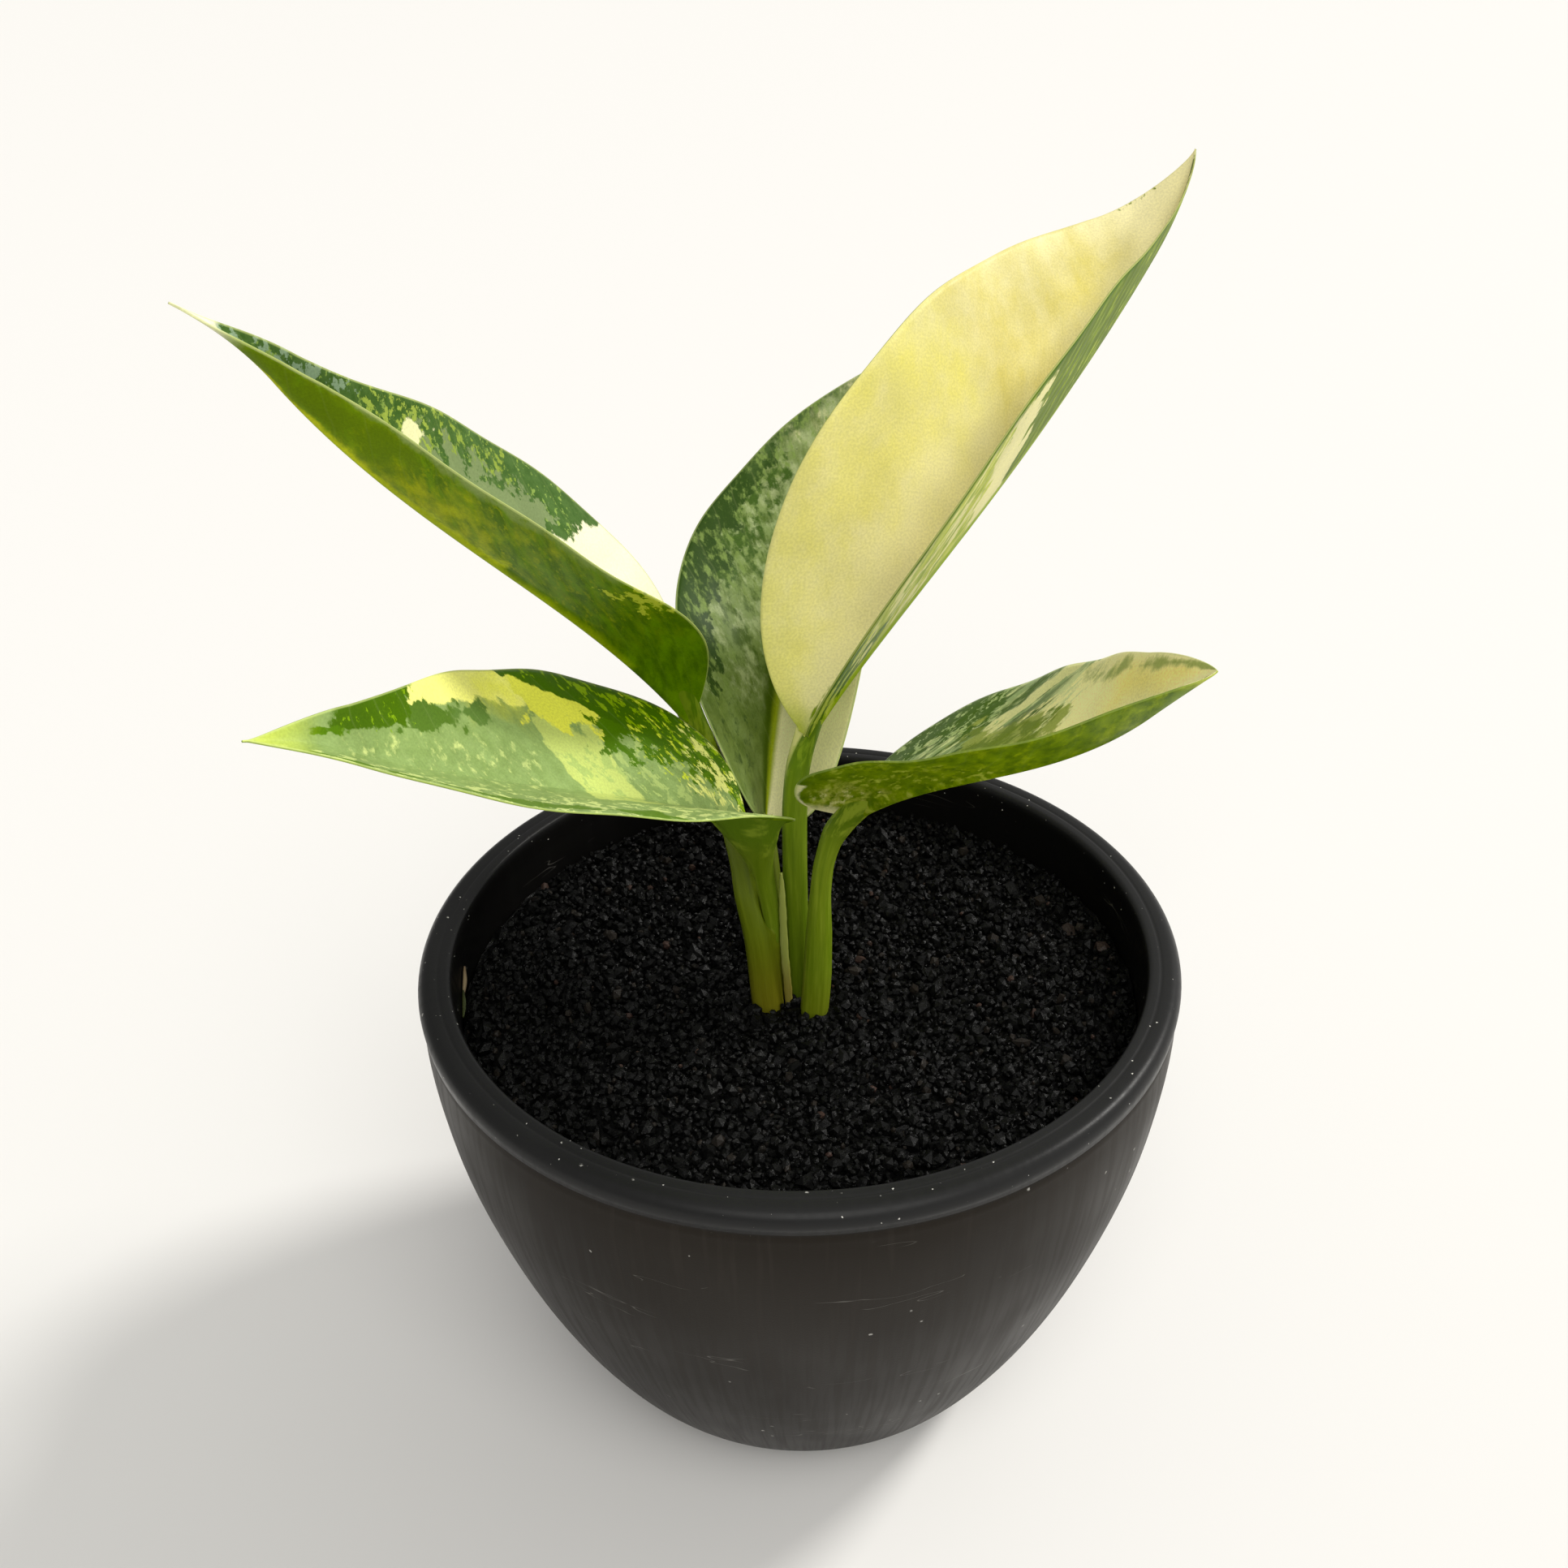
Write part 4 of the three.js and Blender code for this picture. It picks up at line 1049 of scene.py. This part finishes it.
def pot_material():
    material, tree, shader = new_material("charcoal_plastic")
    place = add_node(tree, "TexCoord").outputs["Object"]
    height = parts_of(tree, place)[2]
    turn, length, _ = parts_of(tree, surface_map(tree, "around"))
    streak_at = add_node(tree, "CombineXYZ", X=times(tree, turn, 260.0), Y=times(tree, length, 0.03))
    streaks_and_painted_highlight = noise(tree, streak_at.outputs[0], 1.0, 4.0)
    clouds = noise(tree, place, 28.0, 3.0)
    grain = noise(tree, place, 2600.0, 2.0)
    on_lip = smooth(tree, height, *LIP_STARTS)
    # The charcoal body is painted warm brown, darker and browner towards the foot: a painted reflection of a
    # wooden table.
    colour = blend_colours(tree, smooth(tree, height, *LOW_BODY_PAINTED_REFLECTION), "#1A140C", "#110B04")
    colour = blend_colours(tree, smooth(tree, clouds, 0.4, 0.7, 0.0, 0.4), colour, "#1D1915")
    # The mould's upright streaks are painted a lighter warm grey, which is partly a painted highlight.
    colour = blend_colours(tree, smooth(tree, streaks_and_painted_highlight, 0.5, 0.72, 0.0, 0.3), colour, "#302B26")
    colour = blend_colours(tree, on_lip, colour, "#222222")
    lip_top = float(pot_map[np.argmax(profile[:, 1]), 0, 1])
    # The inner wall is painted near black: painted shade inside the pot.
    inner_wall_painted_shade = smooth(tree, length, *(lip_top + past for past in INNER_WALL_PAINTED_SHADE_STARTS))
    colour = blend_colours(tree, inner_wall_painted_shade, colour, "#0E0D0C")
    dust = use_group(tree, dust_specks, Place=place, Scale=520.0, Size=0.14, Share=0.05)["Mask"]
    lip_dust = use_group(tree, dust_specks, Place=place, Scale=1300.0, Size=0.2, Share=0.06)["Mask"]
    specks = calc(tree, "MAXIMUM", times(tree, dust, 0.55), times(tree, lip_dust, on_lip))
    scratch_at = add_node(tree, "Mapping", Vector=place, Rotation=(0.4, 0.3, 0.8), Scale=(60, 60, 420))
    scratch = use_group(tree, fine_scratches, Place=scratch_at.outputs[0], Width=0.012, Share=0.5)["Mask"]
    scratch = times(tree, scratch, minus(tree, 1.0, on_lip))
    colour = tint(tree, colour, "#77756F", scratch, 0.4)
    colour = blend_colours(tree, specks, colour, "#C9C7C0")
    rough = plus(tree, smooth(tree, clouds, 0.3, 0.7, 0.36, 0.46), times(tree, specks, 0.3))
    rough = minus(tree, rough, times(tree, on_lip, 0.08))
    rough = plus(tree, rough, smooth(tree, streaks_and_painted_highlight, 0.4, 0.7, 0.0, 0.08))
    relief = plus(tree, times(tree, grain, 0.5), times(tree, streaks_and_painted_highlight, 0.6))
    coat_surface(tree, shader, colour, rough, minus(tree, relief, scratch), 0.25, 0.1)
    shader["Specular IOR Level"].default_value = 0.13
    return material


rows, columns = pot_points.shape[:2]
pot_piece = mesh_object("pot_bowl", pot_points.reshape(-1, 3), grid_faces(rows, columns, 0, True),
                        {"around": pot_map.reshape(-1, 2)})
pot_piece.data.materials.append(pot_material())
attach(pot_piece, "root")
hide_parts("pot")
print("pot:", len(pot_piece.data.polygons), "faces")

# %% [markdown]
# ## Grit
#
# The pot is filled with black volcanic grit. A bed with a rough top fills it, and thousands of small
# broken stones lie on the bed. Each stone is a twenty-sided lump with its corners pushed in and out,
# squashed and turned at random. The seed is fixed, so every run lays the same stones.

# %% Bed of grit
SOIL_LEVEL = 102
GRIT_SWELL = 0.9
BED_RADIUS = 72.9
BED_RINGS = 90
BED_FOOT = ((0.93, 60), (0.6, 8))
chance = np.random.default_rng(27)


def grit_relief(x, y):
    lumps = np.sin(0.86 * x + 1.7 * np.sin(0.39 * y)) * np.sin(0.81 * y + 1.5 * np.sin(0.43 * x))
    pits = np.sin(1.31 * x - 0.6 * y + 2) * np.sin(1.13 * y + 0.5 * x)
    return GRIT_SWELL * (0.65 * lumps + 0.35 * pits)


def make_bed():
    radii = np.append(np.linspace(0.01, 1, BED_RINGS) * BED_RADIUS, [BED_RADIUS] * 2)[:, None]
    angle = np.linspace(0, 2 * math.pi, 181)
    x = radii * np.cos(angle)
    y = radii * np.sin(angle)
    z = SOIL_LEVEL - 1.3 + grit_relief(x, y) + 0.25 * np.sin(3.1 * x + y) * np.sin(2.7 * y - x)
    narrow = np.ones_like(radii)
    for ring, (share, height) in zip((-2, -1), BED_FOOT):
        narrow[ring] = share
        z[ring] = height
    return pair(x * narrow, y * narrow, z)


bed = make_bed()
print("bed of grit:", bed.shape[0] * bed.shape[1], "points")

# %% Stones of grit
GOLDEN = (1 + 5 ** 0.5) / 2
LUMP_CORNERS = np.array([(-1, GOLDEN, 0), (1, GOLDEN, 0), (-1, -GOLDEN, 0), (1, -GOLDEN, 0),
                         (0, -1, GOLDEN), (0, 1, GOLDEN), (0, -1, -GOLDEN), (0, 1, -GOLDEN),
                         (GOLDEN, 0, -1), (GOLDEN, 0, 1), (-GOLDEN, 0, -1), (-GOLDEN, 0, 1)]) / 1.902
LUMP_FACES = np.array([(0, 11, 5), (0, 5, 1), (0, 1, 7), (0, 7, 10), (0, 10, 11), (1, 5, 9), (5, 11, 4),
                       (11, 10, 2), (10, 7, 6), (7, 1, 8), (3, 9, 4), (3, 4, 2), (3, 2, 6), (3, 6, 8),
                       (3, 8, 9), (4, 9, 5), (2, 4, 11), (6, 2, 10), (8, 6, 7), (9, 8, 1)])


def random_turns(count):
    a = chance.normal(size=(count, 4))
    w, x, y, z = (a / np.linalg.norm(a, axis=1, keepdims=True)).T
    return np.stack([1 - 2 * (y * y + z * z), 2 * (x * y - z * w), 2 * (x * z + y * w),
                     2 * (x * y + z * w), 1 - 2 * (x * x + z * z), 2 * (y * z - x * w),
                     2 * (x * z - y * w), 2 * (y * z + x * w), 1 - 2 * (x * x + y * y)], 1).reshape(-1, 3, 3)


def make_stones(centres, sizes):
    count = len(centres)
    corners = LUMP_CORNERS * chance.uniform(0.68, 1.18, (count, 12, 1))
    corners = corners * chance.uniform(0.62, 1.15, (count, 1, 3))
    corners = np.einsum("nij,nkj->nki", random_turns(count), corners) * sizes[:, None, None]
    points = (corners + centres[:, None]).reshape(-1, 3)
    faces = (LUMP_FACES[None] + 12 * np.arange(count)[:, None, None]).reshape(-1, 3)
    tone = np.repeat(chance.uniform(0, 1, (count, 2)), 12, axis=0)
    return points, faces, tone


def free_places(spacing, sizes_from, sizes_to, sink):
    span = np.arange(-73, 73, spacing)
    x, y = np.meshgrid(span, span)
    x = x.ravel() + chance.uniform(-0.5, 0.5, x.size) * spacing
    y = y.ravel() + chance.uniform(-0.5, 0.5, y.size) * spacing
    size = sizes_from + (sizes_to - sizes_from) * chance.uniform(0, 1, x.size) ** 2.2
    keep = np.hypot(x, y) + size < 72.8
    for leaf in LEAVES.values():
        path = smooth_curve(np.array([place[:3] for place in leaf["stalk"]], float), 8)
        level_at = np.argmin(np.abs(path[:, 2] - SOIL_LEVEL))
        widest = max(place[3] for place in leaf["stalk"][:2])
        keep &= np.hypot(x - path[level_at, 0], y - path[level_at, 1]) > widest + 0.75 * size
    x, y, size = x[keep], y[keep], size[keep]
    z = SOIL_LEVEL + grit_relief(x, y) + chance.uniform(-0.8, 0.4, x.size) - sink * size
    return np.stack([x, y, z], 1), size


fine_centres, fine_sizes = free_places(1.5, 0.6, 1.3, 0.2)
coarse_centres, coarse_sizes = free_places(3.0, 1.1, 2.2, 0.2)
print(len(fine_sizes), "fine stones and", len(coarse_sizes), "coarse ones")

# %% Grit material and pieces


def grit_material():
    material, tree, shader = new_material("volcanic_grit")
    tone, rare, _ = parts_of(tree, surface_map(tree, "tone"))
    pores = noise(tree, add_node(tree, "TexCoord").outputs["Object"], 1500.0, 4.0, 0.7)
    colour = blend_colours(tree, tone, "#040404", "#0E0E0D")
    colour = blend_colours(tree, smooth(tree, rare, 0.95, 0.98, 0.0, 0.7), colour, "#2A2520")
    colour = blend_colours(tree, smooth(tree, rare, 0.992, 0.995, 0.0, 0.8), colour, "#40302A")
    colour = blend_colours(tree, smooth(tree, pores, 0.58, 0.75, 0.0, 0.3), colour, "#2E2E2C")
    coat_surface(tree, shader, colour, smooth(tree, pores, 0.35, 0.65, 0.5, 0.2), pores, 0.8, 0.2)
    shader["Specular IOR Level"].default_value = 0.11
    return material


grit = grit_material()
bed_points = bed.reshape(-1, 3)
bed_faces = grid_faces(*bed.shape[:2])
bed_triangles = np.vstack([bed_faces[:, [0, 1, 2]], bed_faces[:, [0, 2, 3]]])
stone_points, stone_faces, stone_tone = make_stones(coarse_centres, coarse_sizes)
bed_tone = np.tile([[0.2, 0.3]], (len(bed_points), 1))
grit_bed = mesh_object("grit_bed", np.vstack([bed_points, stone_points]),
                       np.vstack([bed_triangles, stone_faces + len(bed_points)]),
                       {"tone": np.vstack([bed_tone, stone_tone])}, smooth_faces=False)
points, faces, tone = make_stones(fine_centres, fine_sizes)
loose_grit = mesh_object("loose_grit", points, faces, {"tone": tone}, smooth_faces=False)
for piece in (grit_bed, loose_grit):
    piece.data.materials.append(grit)
    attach(piece, "root")
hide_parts("soil")
print("grit:", len(grit_bed.data.polygons), "and", len(loose_grit.data.polygons), "triangles")

# %% [markdown]
# ## The scale between the stalks
#
# A young stalk pushes out of a papery scale, and the dried scale stays between the older stalks. It
# is a narrow strip that is hollow towards the stalks. Its edges are frayed a little, which a sine wave
# with two lengths gives.

# %% Stalk scale
SCALE_POINTS = np.array([(-2.1, -6.5, 97, 0.8), (-2.5, -6.4, 106, 0.85), (-3.0, -6.4, 115, 0.85),
                         (-3.2, -6.5, 126, 0.75), (-3.3, -6.7, 132, 0.6), (-3.4, -6.9, 136, 0.3)])
SCALE_HALF_THICKNESS = 0.28
SCALE_EDGE_THINNING = 0.2
SCALE_CROWN = 0.25


def make_scale():
    path = smooth_curve(SCALE_POINTS[:, :3], 10)
    step = path[:, 3:]
    width = np.interp(step, np.arange(len(SCALE_POINTS)), SCALE_POINTS[:, 3])
    frayed = width * (1 + 0.05 * np.sin(9 * step) + 0.04 * np.sin(23 * step))
    q = np.linspace(1, -1, 9)
    half = SCALE_HALF_THICKNESS - SCALE_EDGE_THINNING * np.abs(q) ** 3
    x, y, z = path[:, :1] + q * frayed, path[:, 1:2] - SCALE_CROWN * (1 - q ** 2), path[:, 2:3]
    points, faces = sheets(pair(x, y - half, z), pair(x, y + half, z))
    maps = sheet_maps(blade=pair(step / (len(SCALE_POINTS) - 1), q), veins=pair(q * frayed, z))
    return mesh_object("papery_scale", points, faces, maps)


scale_piece = make_scale()
scale_colours = ("#9AA446", "#C4C87C", "#7C8830", "#80702C")
scale_piece.data.materials.append(stalk_material("papery_scale", *scale_colours, 0.8))
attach(scale_piece, "root")
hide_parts("stalk_scale")
print("scale:", len(scale_piece.data.polygons), "faces")

# %% [markdown]
# ## A chip of husk
#
# A chip of dry husk sticks to the pot's inner wall on the left, with a thin green sliver in front of
# it. Each is a thin flake that is bent to the wall, so one function makes both.

# %% Chip of husk
# Turn round the pot in degrees, height, width and colours.
FLAKES = {
    "husk_chip": ((180.0, 184.5), (107.4, 104.6), 1.6, ("#8F7C60", "#AC9A7A", "#6E5A40", "#6E5A40")),
    "husk_sliver": ((184.0, 189.0), (105.2, 103.2), 0.8, ("#3C4420", "#626840", "#282E16", "#282E16")),
}
FLAKE_THICKNESS = 0.35


def make_flake(name, turns, heights, width):
    share = np.linspace(0, 1, 16)[:, None]
    q = np.linspace(-1, 1, 9)
    angle = np.radians(turns[0] + (turns[1] - turns[0]) * share)
    half = width / 2 * (0.55 + 0.45 * np.sin(math.pi * (0.15 + 0.8 * share))) * (1 + 0.12 * np.sin(7 * share))
    height = heights[0] + (heights[1] - heights[0]) * share + half * q * (1 + 0.1 * np.sin(11 * share))
    near = INNER_RADIUS - (0.25 + 0.5 * (1 - q ** 2) * np.sin(math.pi * share))
    points, faces = sheets(*(pair(radius * np.cos(angle), radius * np.sin(angle), height)
                             for radius in (near, near - FLAKE_THICKNESS)))
    return mesh_object(name, points, faces, sheet_maps(blade=pair(share, q), veins=pair(half * q, 5 * share)))


for name, (turns, heights, width, colours) in FLAKES.items():
    flake = make_flake(name, turns, heights, width)
    flake.data.materials.append(stalk_material(name, *colours))
    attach(flake, "root")
    print(name, len(flake.data.polygons), "faces")

# %% [markdown]
# ## Stem and roots
#
# The stem and its roots are under the grit. The plain model's solid is right for them, so it stays
# and gets a root's skin: pale, with fine rings across and some of the grit's dust.

# %% Stem and roots
def root_material():
    material, tree, shader = new_material("root_skin")
    place = add_node(tree, "TexCoord").outputs["Object"]
    ring_at = add_node(tree, "Mapping", Vector=place, Scale=(200, 200, 900)).outputs[0]
    rings = noise(tree, ring_at, 1.0, 3.0)
    specks = use_group(tree, dust_specks, Place=place, Scale=700.0, Size=0.3, Share=0.3)["Mask"]
    colour = tint(tree, blend_colours(tree, rings, "#A8946A", "#D8CDA4"), "#2A2622", specks, 0.7)
    coat_surface(tree, shader, colour, smooth(tree, rings, 0.3, 0.7, 0.55, 0.75), rings, 0.5, 0.2)
    return material


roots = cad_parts["stem_and_roots"]
roots.data.materials.clear()
roots.data.materials.append(root_material())
print("roots carry", roots.data.materials[0].name)
